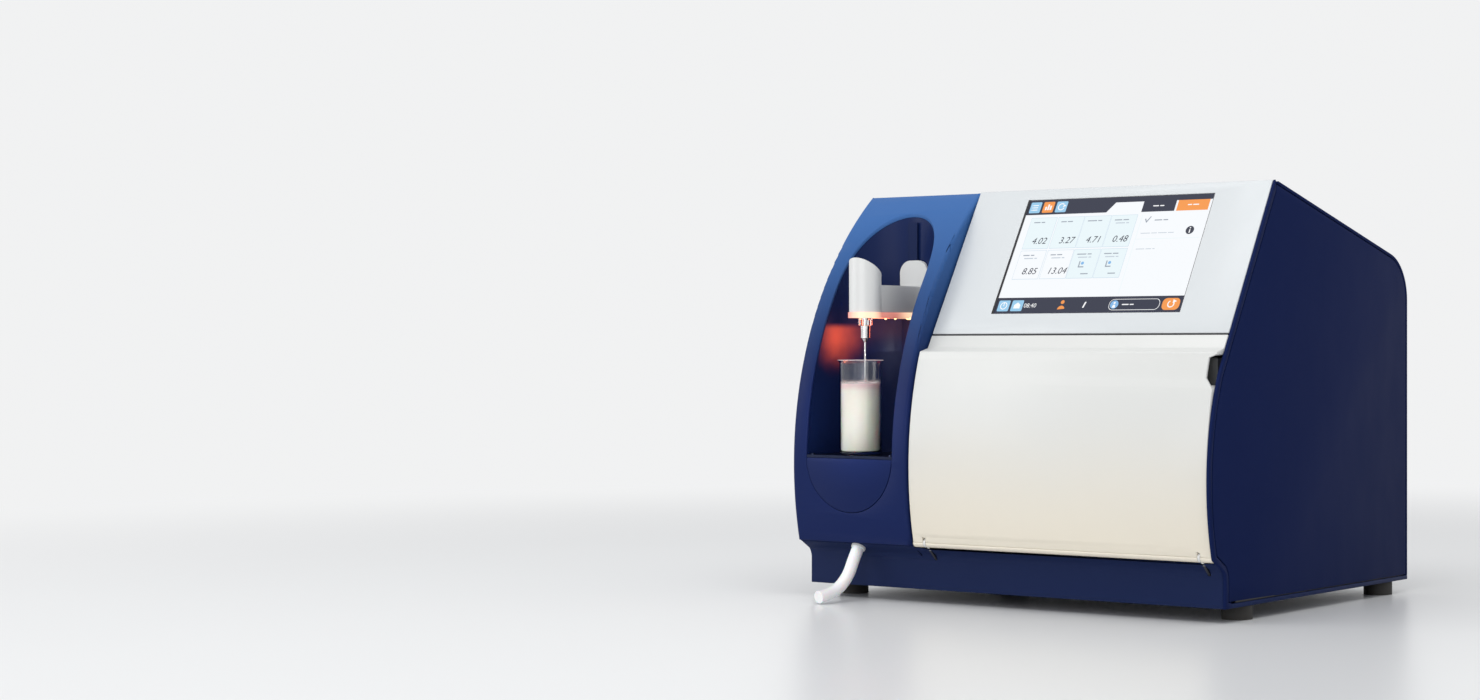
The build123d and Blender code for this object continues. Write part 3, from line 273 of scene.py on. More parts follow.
def glowing(name, colour, strength):
    finish = Finish(name, Base_Color=glowingLook["unlit"], Roughness=glowingLook["rough"],
                    Emission_Strength=strength)
    shade = finish.noise(glowingLook["shade"], 1)
    finish.set(Emission_Color=finish.mix(shade, tint(colour, glowingLook["dim"]), colour))
    return finish


# The blue front is lighter on top and darker low down: painted light on its upper faces and painted shade below
blueLitAndShaded = {"top": (0.041, 0.124, 0.335), "low": (0.006, 0.015, 0.08), "from": 0.2, "to": 0.395}
blueFront = moulding("blueFront", blueLitAndShaded["top"], rough=0.42, grain=0.3, gloss=0.0, shine=0.1,
                     paintedLightFade=(blueLitAndShaded["from"], blueLitAndShaded["to"], blueLitAndShaded["low"]))
# The door is grey on top and a brighter, warmer cream low down: partly the door's own cream tone and partly painted
# light
creamToneAndLight = {"top": (0.63, 0.635, 0.62), "low": (0.775, 0.715, 0.6), "from": 0.05, "to": 0.2}
creamDoor = moulding("creamDoor", creamToneAndLight["top"], rough=0.42, grain=0.22, gloss=0.15, mottle=0.012,
                     paintedLightFade=(creamToneAndLight["from"], creamToneAndLight["to"], creamToneAndLight["low"]))

navyShell = moulding("navyShell", (0.0065, 0.0135, 0.064), rough=0.52, grain=0.45, gloss=0.0, shine=0.03)
navyBase = moulding("navyBase", (0.01, 0.019, 0.07), rough=0.5, grain=0.45, gloss=0.0, shine=0.08)
linerNavy = moulding("linerNavy", (0.006, 0.015, 0.07), rough=0.36, grain=0.2, gloss=0.0, shine=0.12)
railDark = moulding("railDark", (0.006, 0.014, 0.06), rough=0.5, grain=0.3, gloss=0.0, shine=0.1)
whitePanel = moulding("whitePanel", (0.575, 0.6, 0.615), rough=0.4, grain=0.18, gloss=0.2, mottle=0.012)
armWhite = moulding("armWhite", (0.66, 0.665, 0.66), rough=0.34, grain=0.12, gloss=0.3, mottle=0.012)
trimWhite = moulding("trimWhite", (0.7, 0.7, 0.69), rough=0.4, grain=0.15, gloss=0.15, mottle=0.015)
blackPlastic = moulding("blackPlastic", (0.018, 0.018, 0.02), rough=0.46, grain=0.5, gloss=0.1)
greyPlastic = moulding("greyPlastic", (0.2, 0.205, 0.21), rough=0.5, grain=0.5, gloss=0.05)
capBlue = moulding("capBlue", (0.03, 0.1, 0.36), rough=0.38, grain=0.25, gloss=0.2)
rubber = moulding("rubber", (0.022, 0.02, 0.018), rough=0.7, grain=0.9, gloss=0.0)
gasketBlack = moulding("gasketBlack", (0.012, 0.012, 0.014), rough=0.55, grain=0.3, gloss=0.0)

# The carriage is white above the join and navy below it
carriageLook = {"white": (0.66, 0.665, 0.66), "navy": (0.0095, 0.0165, 0.068), "join": (0.2692, 0.2698)}
carriageTone = moulding("carriageTone", carriageLook["white"], rough=0.42, grain=0.12, gloss=0.0,
                        mottle=0.012, shine=0.12)
carriageShare = carriageTone.step(carriageTone.axis("Z"), *carriageLook["join"])
carriageTone.set(Base_Color=carriageTone.mix(carriageShare, carriageLook["navy"], carriageLook["white"]))

# The hinge brackets are white round the pin and dark beyond that
bracketLook = {"white": (0.7, 0.7, 0.69), "dark": (0.012, 0.013, 0.02), "pin": (0, -0.1742, 0.0587),
               "edge": (0.0088, 0.0094)}
bracketTone = moulding("bracketTone", bracketLook["white"], rough=0.4, grain=0.15, gloss=0.1, mottle=0.015)
bracketSpot = bracketTone.node("Mapping", None, {"Vector": bracketTone.place(), "Scale": (0, 1, 1)})
bracketShare = bracketTone.step(bracketTone.reach(bracketLook["pin"], bracketSpot), *bracketLook["edge"])
bracketTone.set(Base_Color=bracketTone.mix(bracketShare, bracketLook["white"], bracketLook["dark"]))

# The bay is grey, with painted shade on its right wall's front edge, which shows beside the closed door
bayLook = {"grey": (0.2, 0.205, 0.21), "dark": (0.006, 0.008, 0.02), "front": (-0.142, -0.139),
           "right": (0.2232, 0.2238)}
linerTone = moulding("linerTone", bayLook["grey"], rough=0.5, grain=0.5, gloss=0.0)
linerFront = linerTone.step(linerTone.axis("Y"), *bayLook["front"], 1.0, 0.0)
paintedShadeShare = linerTone.step(linerTone.axis("X"), *bayLook["right"]) * linerFront
linerTone.set(Base_Color=linerTone.mix(paintedShadeShare, bayLook["grey"], bayLook["dark"]))

brushedShelf = steel("brushedShelf", (0.022, 0.028, 0.055), rough=0.3, brush=(1, 22, 1), scale=120.0)
brightSteel = steel("brightSteel", (0.72, 0.72, 0.73), rough=0.12, brush=(1, 1, 30), scale=300.0)
zincSheet = steel("zincSheet", (0.56, 0.57, 0.57), rough=0.38, brush=(1, 1, 1), scale=45.0, depth=0.0001)
castAluminium = steel("castAluminium", (0.6, 0.61, 0.62), rough=0.5, brush=(1, 1, 1), scale=900.0,
                      depth=0.00018)
goldShell = steel("goldShell", (0.72, 0.5, 0.2), rough=0.2, brush=(30, 1, 1), scale=120.0)

beakerGlass = clear("beakerGlass", (0.97, 0.985, 0.99), rough=0.0, ior=1.45, shine=0.4)
prongClear = clear("prongClear", (0.93, 0.95, 0.96), rough=0.06, ior=1.46)
bottleShell = clear("bottleShell", (0.92, 0.94, 0.94), rough=0.3, ior=1.4, through=0.7)
reagent = clear("reagent", (0.55, 0.8, 0.92), rough=0.02, ior=1.33)
pumpWindow = clear("pumpWindow", (0.9, 0.93, 0.95), rough=0.05, ior=1.49)

siliconeLook = {"dull": (0.86, 0.87, 0.88), "bright": (0.92, 0.92, 0.92), "cloud": 90.0, "rough": 0.33,
                "roughShare": 0.12, "grain": 700.0, "bump": 0.12, "depth": 0.0001}
silicone = Finish("silicone", Subsurface_Weight=0.35, Subsurface_Scale=0.006, Coat_Weight=0.25, Coat_Roughness=0.2)
siliconeCloud = silicone.noise(siliconeLook["cloud"], 3)
siliconeGrain = silicone.noise(siliconeLook["grain"], 2)
silicone.set(Base_Color=silicone.mix(siliconeCloud, siliconeLook["dull"], siliconeLook["bright"]),
             Roughness=siliconeLook["rough"] + siliconeCloud * siliconeLook["roughShare"],
             Normal=silicone.bump(siliconeGrain, siliconeLook["bump"], siliconeLook["depth"]))

# The milk's surface is painted pink, a painted reflection of the light above it, and its foot is a little darker as
# painted shade
milkLook = {"white": (0.9, 0.865, 0.775), "top": (0.86, 0.62, 0.62), "surface": (0.1985, 0.2062),
            "low": (0.141, 0.17), "lowShade": 0.93, "grain": 260.0, "bump": 0.05, "depth": 0.0002}
milkWhite = Finish("milkWhite", Subsurface_Weight=0.3, Subsurface_Scale=0.008, Roughness=0.22)
milkReflectionShare = milkWhite.step(milkWhite.axis("Z"), *milkLook["surface"])
milkShadeShare = milkWhite.step(milkWhite.axis("Z"), *milkLook["low"])
milkBody = milkWhite.mix(milkShadeShare, tint(milkLook["white"], milkLook["lowShade"]), milkLook["white"])
milkWhite.set(Base_Color=milkWhite.mix(milkReflectionShare, milkBody, milkLook["top"]),
              Normal=milkWhite.bump(milkWhite.noise(milkLook["grain"], 3), milkLook["bump"], milkLook["depth"]))

boardLook = {"mask": (0.012, 0.11, 0.045), "trace": (0.02, 0.2, 0.08), "cells": 260.0, "thin": 2.0,
             "rough": 0.4, "roughShare": 0.15, "bump": 0.15, "depth": 0.00008}
board = Finish("board", Coat_Weight=0.4, Coat_Roughness=0.1)
boardTrace = board.cells(boardLook["cells"]) ** boardLook["thin"]
board.set(Base_Color=board.mix(boardTrace, boardLook["mask"], boardLook["trace"]),
          Roughness=boardLook["rough"] + boardTrace * boardLook["roughShare"],
          Normal=board.bump(boardTrace, boardLook["bump"], boardLook["depth"]))

# The light plate glows pink, with an orange heart where its lamps sit and another by the needle's post
lightLook = {"pane": (0.62, 0.3, 0.26), "pink": (0.42, 0.12, 0.09), "orange": (1.0, 0.68, 0.42),
             "heart": (-0.1525, -0.112, 0.2722), "heartReach": (0.0, 0.026),
             "post": (-0.153, -0.176, 0.2722), "postReach": (0.006, 0.021), "postShare": 0.9}
lightPane = Finish("lightPane", Base_Color=lightLook["pane"], Roughness=0.24, Emission_Strength=1.0)
nearHeart = lightPane.step(lightPane.reach(lightLook["heart"]), *lightLook["heartReach"], 1.0, 0.0)
nearPost = lightPane.step(lightPane.reach(lightLook["post"]), *lightLook["postReach"], lightLook["postShare"], 0.0)
lampShare = lightPane.node("Math", {"operation": "MAXIMUM"}, {0: nearHeart, 1: nearPost})
lightPane.set(Emission_Color=lightPane.mix(lampShare, lightLook["pink"], lightLook["orange"]))

# Warm light that the plate throws on the liner's wall
glowLook = {"colour": (0.72, 0.085, 0.028), "centre": (-0.2145, -0.143, 0.253), "reach": (0.006, 0.05),
            "under": (0.259, 0.266), "cloud": 45.0, "ragged": 0.012, "falloff": 1.6}
glowCloud = linerNavy.noise(glowLook["cloud"], 2) * glowLook["ragged"]
glowEdge = linerNavy.step(linerNavy.axis("Z"), *glowLook["under"], 1.0, 0.0)
glowRound = linerNavy.step(linerNavy.reach(glowLook["centre"]) + glowCloud, *glowLook["reach"], 1.0, 0.0)
glowShare = (glowRound ** glowLook["falloff"]) * glowEdge
linerNavy.set(Emission_Color=linerNavy.mix(glowShare, (0.0, 0.0, 0.0), glowLook["colour"]), Emission_Strength=1.0)
print("finishes made")


# Stage and light: the floor fades into the pale background over the ring's two radii
stageLook = {"pale": (0.88, 0.885, 0.89), "ring": (0.75, 2.1), "size": 14.0, "sides": 96,
             "dull": (0.735, 0.74, 0.745), "bright": (0.75, 0.755, 0.76), "wave": 3.0,
             "sky": (0.97, 0.985, 1.0), "skyPower": 0.62}
floorFinish = Finish("floorFinish", Roughness=0.32)
floorWave = floorFinish.noise(stageLook["wave"], 2)
floorFinish.set(Base_Color=floorFinish.mix(floorWave, stageLook["dull"], stageLook["bright"]))
floorReach = floorFinish.node("VectorMath", {"operation": "LENGTH"}, {0: floorFinish.place()}, "Value")
floorFade = floorFinish.step(floorReach, *stageLook["ring"])
paleGlow = floorFinish.node("Emission", None, {"Color": stageLook["pale"], "Strength": 1.0})
floorMixed = floorFinish.node("MixShader", None, {0: floorFade, 2: paleGlow})
floorFinish.tree.links.new(floorFinish.shader.outputs[0], floorMixed.socket.node.inputs[1])
floorFinish.tree.links.new(floorMixed.socket, floorFinish.tree.nodes["Material Output"].inputs[0])

floorMesh = bmesh.new()
bmesh.ops.create_circle(floorMesh, cap_ends=True, radius=stageLook["size"], segments=stageLook["sides"])
floor = finishMesh("benchFloor", floorMesh, floorFinish, None)

world = bpy.data.worlds.new("paleRoom")
bpy.context.scene.world = world
world.use_nodes = True
worldNodes, worldLinks = world.node_tree.nodes, world.node_tree.links
lit, shown = worldNodes["Background"], worldNodes.new("ShaderNodeBackground")
lit.inputs[0].default_value = (*stageLook["sky"], 1)
lit.inputs[1].default_value = stageLook["skyPower"]
shown.inputs[0].default_value = (*stageLook["pale"], 1)
rayKind, eitherRay, anyRay = (worldNodes.new("ShaderNode" + kind) for kind in ("LightPath", "Math", "Math"))
eitherRay.operation = anyRay.operation = "MAXIMUM"
worldLinks.new(rayKind.outputs["Is Camera Ray"], eitherRay.inputs[0])
worldLinks.new(rayKind.outputs["Is Transmission Ray"], eitherRay.inputs[1])
worldLinks.new(eitherRay.outputs[0], anyRay.inputs[0])
worldLinks.new(rayKind.outputs["Is Glossy Ray"], anyRay.inputs[1])
worldMix = worldNodes.new("ShaderNodeMixShader")
worldLinks.new(anyRay.outputs[0], worldMix.inputs[0])
worldLinks.new(lit.outputs[0], worldMix.inputs[1])
worldLinks.new(shown.outputs[0], worldMix.inputs[2])
worldLinks.new(worldMix.outputs[0], worldNodes["World Output"].inputs[0])

lampLook = {
    "overhead": {"at": (0.35, -0.9, 2.1), "aim": (0.0, 0.0, 0.2), "size": (2.2, 1.4), "power": 24.5},
    "leftWindow": {"at": (-2.0, -1.7, 1.1), "aim": (0.0, 0.0, 0.2), "size": (1.1, 1.6), "power": 14.0},
    "lowFront": {"at": (0.5, -2.4, 0.55), "aim": (0.0, 0.0, 0.15), "size": (1.8, 0.7), "power": 9.0},
}
for lampName, look in lampLook.items():
    lampData = bpy.data.lights.new(lampName, "AREA")
    lampData.shape = "RECTANGLE"
    lampData.size, lampData.size_y = look["size"]
    lampData.energy = look["power"]
    lamp = bpy.data.objects.new(lampName, lampData)
    lamp.location = look["at"]
    lamp.rotation_euler = (Vector(look["aim"]) - Vector(look["at"])).to_track_quat("-Z", "Y").to_euler()
    bpy.context.scene.collection.objects.link(lamp)

# A narrow light on the cup, from the viewer's side
cupLampLook = {"at": (0.1, -1.1, 0.13), "aim": (-0.1686, -0.166, 0.178), "power": 33.0, "cone": 6.6,
               "soft": 0.6, "size": 0.03}
cupLamp = bpy.data.lights.new("cupLight", "SPOT")
cupLamp.energy = cupLampLook["power"]
cupLamp.spot_size = math.radians(cupLampLook["cone"])
cupLamp.spot_blend = cupLampLook["soft"]
cupLamp.shadow_soft_size = cupLampLook["size"]
cupLight = bpy.data.objects.new("cupLight", cupLamp)
cupLight.location = cupLampLook["at"]
cupLight.rotation_euler = (Vector(cupLampLook["aim"]) - cupLight.location).to_track_quat("-Z", "Y").to_euler()
bpy.context.scene.collection.objects.link(cupLight)

# The warm spill under the light plate
plateLampLook = {"at": (-0.176, -0.128, 0.262), "colour": (1.0, 0.2, 0.09), "power": 0.035, "size": 0.012}
plateLamp = bpy.data.lights.new("plateGlow", "POINT")
plateLamp.color = plateLampLook["colour"]
plateLamp.energy = plateLampLook["power"]
plateLamp.shadow_soft_size = plateLampLook["size"]
plateLight = bpy.data.objects.new("plateGlow", plateLamp)
plateLight.location = plateLampLook["at"]
bpy.context.scene.collection.objects.link(plateLight)
print("stage lit")


# Nodes that keep their own shape and get a finish
for node, finish in {
    "feet": rubber, "sample_shelf": brushedShelf, "display_gasket": gasketBlack,
    "display_module": blackPlastic, "door_liner": linerTone, "door_strikes": zincSheet,
    # The hidden chassis gets black plastic as painted shade, so the side-cover seams show dark
    "door_magnets": zincSheet, "hinge_pins": brightSteel, "chassis": blackPlastic, "bay_liner": linerTone,
    "pump_head": blackPlastic, "pump_cover": pumpWindow, "pump_rotor": zincSheet, "pump_rollers": trimWhite,
    "pump_motor": zincSheet, "pump_tube": silicone, "pump_manifold": blackPlastic, "liquid_bottles": bottleShell,
    "bottle_liquids": reagent, "suction_tubes": silicone, "inline_filter": trimWhite,
    "guide_rail": railDark, "needle_collar": prongClear, "optics_base": castAluminium,
    "optics_isolators": rubber, "interferometer": castAluminium, "infrared_source": goldShell,
    "flow_cell": brightSteel, "detector": zincSheet, "mainboard": board, "power_supply": zincSheet,
    "fan_frame": blackPlastic, "fan_rotor": blackPlastic, "rear_panel": zincSheet, "power_entry": blackPlastic,
    "data_ports": brightSteel, "drain_fitting": trimWhite, "niche_liner": linerNavy, "display_glass": gasketBlack,
    "hinge_brackets": bracketTone, "bottle_caps": capBlue, "cover_screws": brightSteel,
}.items():
    mesh = cadNodes[node].data
    mesh.materials.clear()
    mesh.materials.append(finish.material)

# Nodes that are replaced by their own shape with eased edges, and how wide each edge is in metres
for node, width, finish, body, slot in (
    ("sample_module", 0.0009, blueFront, "cabinet", "plastic_blue"),
    ("drip_insert", 0.0004, blueFront, "cabinet", "plastic_navy"),
    ("screen_panel", 0.0008, whitePanel, "cabinet", "plastic_white"),
    ("door_skin", 0.0009, creamDoor, "door", "plastic_cream"),
    ("top_rear_cover", 0.0007, navyShell, "cabinet", "plastic_navy"),
    ("side_cover_right", 0.0004, navyShell, "cabinet", "plastic_navy"),
    ("side_cover_left", 0.0004, navyShell, "cabinet", "plastic_navy"),
    ("front_frame", 0.0005, navyShell, "cabinet", "plastic_navy"),
    ("base_tray", 0.0006, navyBase, "cabinet", "plastic_navy"),
    ("arm_housing", 0.0009, armWhite, "arm", "plastic_white"),
    ("arm_carriage", 0.0009, carriageTone, "arm", "plastic_white"),
    ("light_plate", 0.0009, lightPane, "arm", "light_pane"),
    ("power_rocker", 0.0006, greyPlastic, "rocker_switch", "plastic_grey"),
):
    softened(node, width, finish, body, slot)
print("cabinet pieces eased")


# Sample cup, in mm: radii from its axis and heights above the bench
cup = {"centre": (-168.6, -166.0), "base": 138.8, "outer": 20.3, "inner": 19.1, "floor": 141.8,
       "rim": 21.9, "top": 229.5, "milk": 205.7, "gap": 0.05, "steps": 128}
base, outer, inner, well = cup["base"], cup["outer"], cup["inner"], cup["floor"]
rim, top, level = cup["rim"], cup["top"], cup["milk"]
cupProfile = [
    (0, base + 0.9), (outer - 6, base + 0.7), (outer - 2.6, base), (outer - 1.2, base + 0.2),
    (outer - 0.35, base + 0.9), (outer, base + 2.2), (outer, top - 4.0), (outer + 0.35, top - 2.4),
    (rim - 0.4, top - 1.1), (rim, top - 0.55), (rim - 0.35, top - 0.05), (rim - 1.1, top),
    (inner + 0.7, top - 1.2), (inner, top - 3.2), (inner, well + 2.2), (inner - 0.7, well + 0.7),
    (inner - 2.4, well), (0, well),
]
belongs(turned("sampleCup", cupProfile, cup["centre"], beakerGlass, cup["steps"], 40),
        "sample_beaker", "glass_clear", "beaker")

# A thin bright lip on the cup: a painted highlight, glowing faintly, for the pale ring of light the real glass shows
# on its rim
rimHighlightLook = {"dull": (0.8, 0.74, 0.79), "bright": (0.95, 0.92, 0.94), "cloud": 300.0, "profile": (
    (21.2, 229.0), (21.75, 229.05), (21.9, 229.25), (21.75, 229.45), (21.2, 229.5), (20.9, 229.25), (21.2, 229.0))}
rimHighlight = Finish("rimLight", Roughness=0.12, Alpha=0.55, Emission_Color=(0.8, 0.68, 0.74), Emission_Strength=0.25)
rimHighlight.set(Base_Color=rimHighlight.mix(rimHighlight.noise(rimHighlightLook["cloud"], 2), rimHighlightLook["dull"], rimHighlightLook["bright"]))
belongs(turned("cupRimHighlight", rimHighlightLook["profile"], cup["centre"], rimHighlight, cup["steps"]), "sample_beaker", "glass_clear")

# Milk, creeping up the wall at its edge
inside = inner - cup["gap"]
milkProfile = [
    (0, well + 0.04), (inside - 2.4, well + 0.04), (inside - 0.7, well + 0.75), (inside, well + 2.3),
    (inside, level + 1.4), (inside - 0.25, level + 1.1), (inside - 0.9, level + 0.35), (inside - 2.2, level),
    (inside - 9, level - 0.05), (0, level - 0.05),
]
belongs(turned("sampleMilk", milkProfile, cup["centre"], milkWhite, cup["steps"], 50),
        "sample_beaker", "milk", "milk")

# A film of milk drawn up the glass above the level, with a ragged upper edge
filmLook = {"steps": 160, "low": 207.0, "high": 213.5, "inset": 0.02, "fade": (0.2068, 0.2105), "most": 0.42,
            "patches": 210.0, "ragged": 0.006}
filmFinish = Finish("milkFilm", Base_Color=(0.9, 0.86, 0.82), Roughness=0.3)
filmRagged = (filmFinish.noise(filmLook["patches"], 3) - 0.5) * filmLook["ragged"]
filmFinish.set(Alpha=filmFinish.step(filmFinish.axis("Z") + filmRagged, *filmLook["fade"], filmLook["most"], 0.0))
bm = bmesh.new()
lowRing, highRing = [], []
for index in range(filmLook["steps"]):
    angle = 2 * math.pi * index / filmLook["steps"]
    spot = [(centre + (inside - filmLook["inset"]) * turn) / 1000
            for centre, turn in zip(cup["centre"], (math.cos(angle), math.sin(angle)))]
    lowRing.append(bm.verts.new((*spot, filmLook["low"] / 1000)))
    highRing.append(bm.verts.new((*spot, filmLook["high"] / 1000)))
for index in range(filmLook["steps"]):
    after = (index + 1) % filmLook["steps"]
    bm.faces.new((lowRing[index], lowRing[after], highRing[after], highRing[index]))
belongs(finishMesh("milkFilm", bm, filmFinish), "sample_beaker", "milk")

# Needle, and its chuck with nine knurled grooves
needleLook = {"centre": (-164.0, -164.6), "tip": 150.0, "top": 260.5, "radius": 1.1, "bore": 0.5, "steps": 32}
tipZ, needleR, needleBore = needleLook["tip"], needleLook["radius"], needleLook["bore"]
needleProfile = [
    (needleBore, tipZ + 4), (needleBore, tipZ), (needleR - 0.15, tipZ), (needleR, tipZ + 0.5),
    (needleR, needleLook["top"]), (needleBore, needleLook["top"]),
]
belongs(turned("needle", needleProfile, needleLook["centre"], brightSteel, needleLook["steps"]),
        "arm", "steel_bright", "intake_needle")

chuckLook = {"wide": 4.5, "narrow": 4.3, "first": 251.2, "pitch": 0.9, "grooves": 9, "steps": 48}
wide, narrow = chuckLook["wide"], chuckLook["narrow"]
chuckProfile = [(0, 246.4), (1.6, 246.4), (2.4, 247.4), (3.4, 249.0), (4.1, 250.0), (wide, 250.5)]
for groove in range(chuckLook["grooves"]):
    low = chuckLook["first"] + groove * chuckLook["pitch"]
    chuckProfile += [(wide, low), (narrow, low + 0.2), (narrow, low + 0.4), (wide, low + 0.6)]
chuckProfile += [(wide, 261.9), (4.1, 262.5), (2.6, 262.5), (2.6, 280.0), (0, 280.0)]
belongs(turned("needleChuck", chuckProfile, needleLook["centre"], brightSteel, chuckLook["steps"]),
        "arm", "steel_bright", "needle_chuck")

# Lamp lenses under the light plate: where each stands, and how large it is
lensLook = {"colour": (1.0, 0.62, 0.3), "glow": 2.6, "steps": 32,
            "spots": ((-152.5, -112.0, 1.35), (-158.0, -126.0, 0.6), (-170.0, -126.0, 0.6)),
            "profile": ((0, 268.2), (1.0, 268.35), (1.9, 268.9), (2.3, 269.6), (2.3, 270.4), (0, 270.4))}
lensFinish = glowing("lensGlow", lensLook["colour"], lensLook["glow"])
for number, (x, y, large) in enumerate(lensLook["spots"]):
    profile = [(radius * large, z) for radius, z in lensLook["profile"]]
    belongs(turned("lampLens%d" % number, profile, (x, y), lensFinish, lensLook["steps"]), "arm", "light_pane")
print("cup, milk and needle made")


# Touch screen, drawn in flat panes a hair above its glass: places run from 0 to 1 across and down it
screenLook = {"left": -34.0, "width": 208.4, "top": 11.6, "height": 125.4, "ridge": (-72.0, 392.6),
              "slant": 29.2, "depth": 0.8, "lift": 0.06, "glow": 1.04}
slantSin, slantCos = math.sin(math.radians(screenLook["slant"])), math.cos(math.radians(screenLook["slant"]))


def onSlant(x, down, out):
    y = screenLook["ridge"][0] - slantSin * down - slantCos * out
    z = screenLook["ridge"][1] - slantCos * down + slantSin * out
    return Vector((x / 1000, y / 1000, z / 1000))


def onScreen(across, down, layer):
    return onSlant(screenLook["left"] + across * screenLook["width"], screenLook["top"] + down * screenLook["height"],
                   -screenLook["depth"] + screenLook["lift"] * layer)


screenColours = {
    "pageWhite": (0.86, 0.885, 0.91), "barNavy": (0.006, 0.01, 0.034), "tileBlue": (0.76, 0.855, 0.885),
    "tileLine": (0.48, 0.62, 0.74), "iconBlue": (0.28, 0.55, 0.78), "orange": (0.86, 0.29, 0.045),
    "inkDark": (0.018, 0.022, 0.045), "inkGrey": (0.3, 0.34, 0.4), "inkLight": (0.5, 0.56, 0.63),
    "markWhite": (0.9, 0.91, 0.92), "edgeBlack": (0.002, 0.002, 0.003), "discBlue": (0.2, 0.44, 0.75),
}
aspect = screenLook["width"] / screenLook["height"]
panes = {name: [] for name in screenColours}


def pane(colour, layer, *points):
    panes[colour].append([onScreen(across, down, layer) for across, down in points])


def plate(colour, layer, x0, y0, x1, y1, corner=0.0):
    if not corner:
        return pane(colour, layer, (x0, y0), (x1, y0), (x1, y1), (x0, y1))
    points = []
    rise = corner * aspect
    for cx, cy, start in ((x1 - corner, y0 + rise, -90), (x1 - corner, y1 - rise, 0),
                          (x0 + corner, y1 - rise, 90), (x0 + corner, y0 + rise, 180)):
        for part in range(7):
            angle = math.radians(start + part * 15)
            points.append((cx + corner * math.cos(angle), cy + rise * math.sin(angle)))
    pane(colour, layer, *points)


def disc(colour, layer, x, y, radius, hollow=0.0, start=0, sweep=360):
    steps = max(10, int(sweep / 10))
    outer = []
    for part in range(steps + 1):
        angle = math.radians(start + sweep * part / steps)
        outer.append((math.cos(angle), math.sin(angle)))
    if not hollow:
        return pane(colour, layer, *[(x + radius * a, y + radius * aspect * b) for a, b in outer[:-1]])
    for (a0, b0), (a1, b1) in zip(outer, outer[1:]):
        pane(colour, layer, (x + radius * a0, y + radius * aspect * b0), (x + radius * a1, y + radius * aspect * b1),
             (x + hollow * a1, y + hollow * aspect * b1), (x + hollow * a0, y + hollow * aspect * b0))


def strokes(colour, layer, x, y, lengths, thick=0.009, gap=0.006):
    for length in lengths:
        plate(colour, layer, x, y, x + length, y + thick, 0.0015)
        x += length + gap


figureLook = {"height": 0.7, "curve": 3}  # a figure's height as a share of its font's size, and its smoothness


def figures(colour, layer, words, x, y, tall, lean=0.0):
    # Generic numbers, centred on x, standing on y
    data = bpy.data.curves.new("figures", "FONT")
    data.body, data.size, data.shear, data.align_x = words, 1.0, lean, "CENTER"
    data.resolution_u = figureLook["curve"]
    holder = bpy.data.objects.new("figures", data)
    bpy.context.scene.collection.objects.link(holder)
    mesh = bpy.data.meshes.new_from_object(holder.evaluated_get(bpy.context.evaluated_depsgraph_get()))
    size = tall / figureLook["height"]
    for face in mesh.polygons:
        spots = [mesh.vertices[index].co for index in face.vertices]
        pane(colour, layer, *[(x + spot.x * size / aspect, y - spot.y * size) for spot in spots])
    bpy.data.objects.remove(holder)
    bpy.data.meshes.remove(mesh)
    bpy.data.curves.remove(data)


# The page and the bar along its top
near, far = 0.004, 0.997
plate("pageWhite", 1, near, near, far, far)
pane("barNavy", 2, (near, near), (far, near), (far, 0.05), (0.49, 0.05), (0.452, 0.135), (near, 0.135))
for x, colour in ((0.022, "iconBlue"), (0.094, "orange"), (0.166, "iconBlue")):
    plate(colour, 3, x, 0.022, x + 0.06, 0.118, 0.006)
for row in range(3):
    plate("markWhite", 4, 0.038, 0.047 + row * 0.02, 0.066, 0.055 + row * 0.02)
    disc("markWhite", 4, 0.033, 0.051 + row * 0.02, 0.0024)
for column, tall in enumerate((0.03, 0.05, 0.038)):
    plate("markWhite", 4, 0.107 + column * 0.013, 0.095 - tall, 0.116 + column * 0.013, 0.095)
disc("markWhite", 4, 0.196, 0.07, 0.019, 0.014, 20, 290)
pane("markWhite", 4, (0.207, 0.05), (0.222, 0.062), (0.204, 0.074))
plate("barNavy", 3, 0.64, 0.05, 0.812, 0.142)
plate("orange", 3, 0.822, 0.05, 0.985, 0.142)
strokes("markWhite", 4, 0.695, 0.088, (0.03, 0.022))
strokes("markWhite", 4, 0.875, 0.088, (0.022, 0.03))

# Eight tiles: six with a reading, two with a sign
columns, rows = (0.052, 0.202, 0.347, 0.492), ((0.165, 0.435), (0.455, 0.7))
captions = ((0.035, 0.02), (0.03, 0.028), (0.05, 0.022), (0.04, 0.03))
tileEdge = {"across": 0.0015, "down": 0.003, "corner": 0.003}
readings = (("4.02", "3.27", "4.71", "0.48"), ("8.85", "13.04"))
for rowNumber, (high, low) in enumerate(rows):
    for columnNumber, x in enumerate(columns):
        wide = 0.14 if columnNumber < 3 else 0.135
        tileColour = "tileBlue" if rowNumber == 0 or columnNumber > 1 else "pageWhite"
        plate("tileLine", 2, x - tileEdge["across"], high - tileEdge["down"], x + wide + tileEdge["across"],
              low + tileEdge["down"], tileEdge["corner"])
        plate(tileColour, 3, x, high, x + wide, low, tileEdge["corner"])
        strokes("inkGrey", 4, x + 0.02, high + 0.035, captions[columnNumber])
        if columnNumber == 3 or rowNumber == 1:
            strokes("inkLight", 4, x + 0.03, high + 0.062, (0.05, 0.015))
        if rowNumber == 0 or columnNumber < 2:
            figures("inkDark", 4, readings[rowNumber][columnNumber], x + wide * 0.58, low - 0.04, 0.055, 0.22)
        else:
            plate("inkGrey", 4, x + 0.045, high + 0.1, x + 0.051, high + 0.15)
            plate("inkGrey", 4, x + 0.045, high + 0.145, x + 0.075, high + 0.155)
            disc("discBlue", 4, x + 0.064, high + 0.118, 0.008)
            strokes("inkGrey", 4, x + 0.07, low - 0.04, (0.04,))

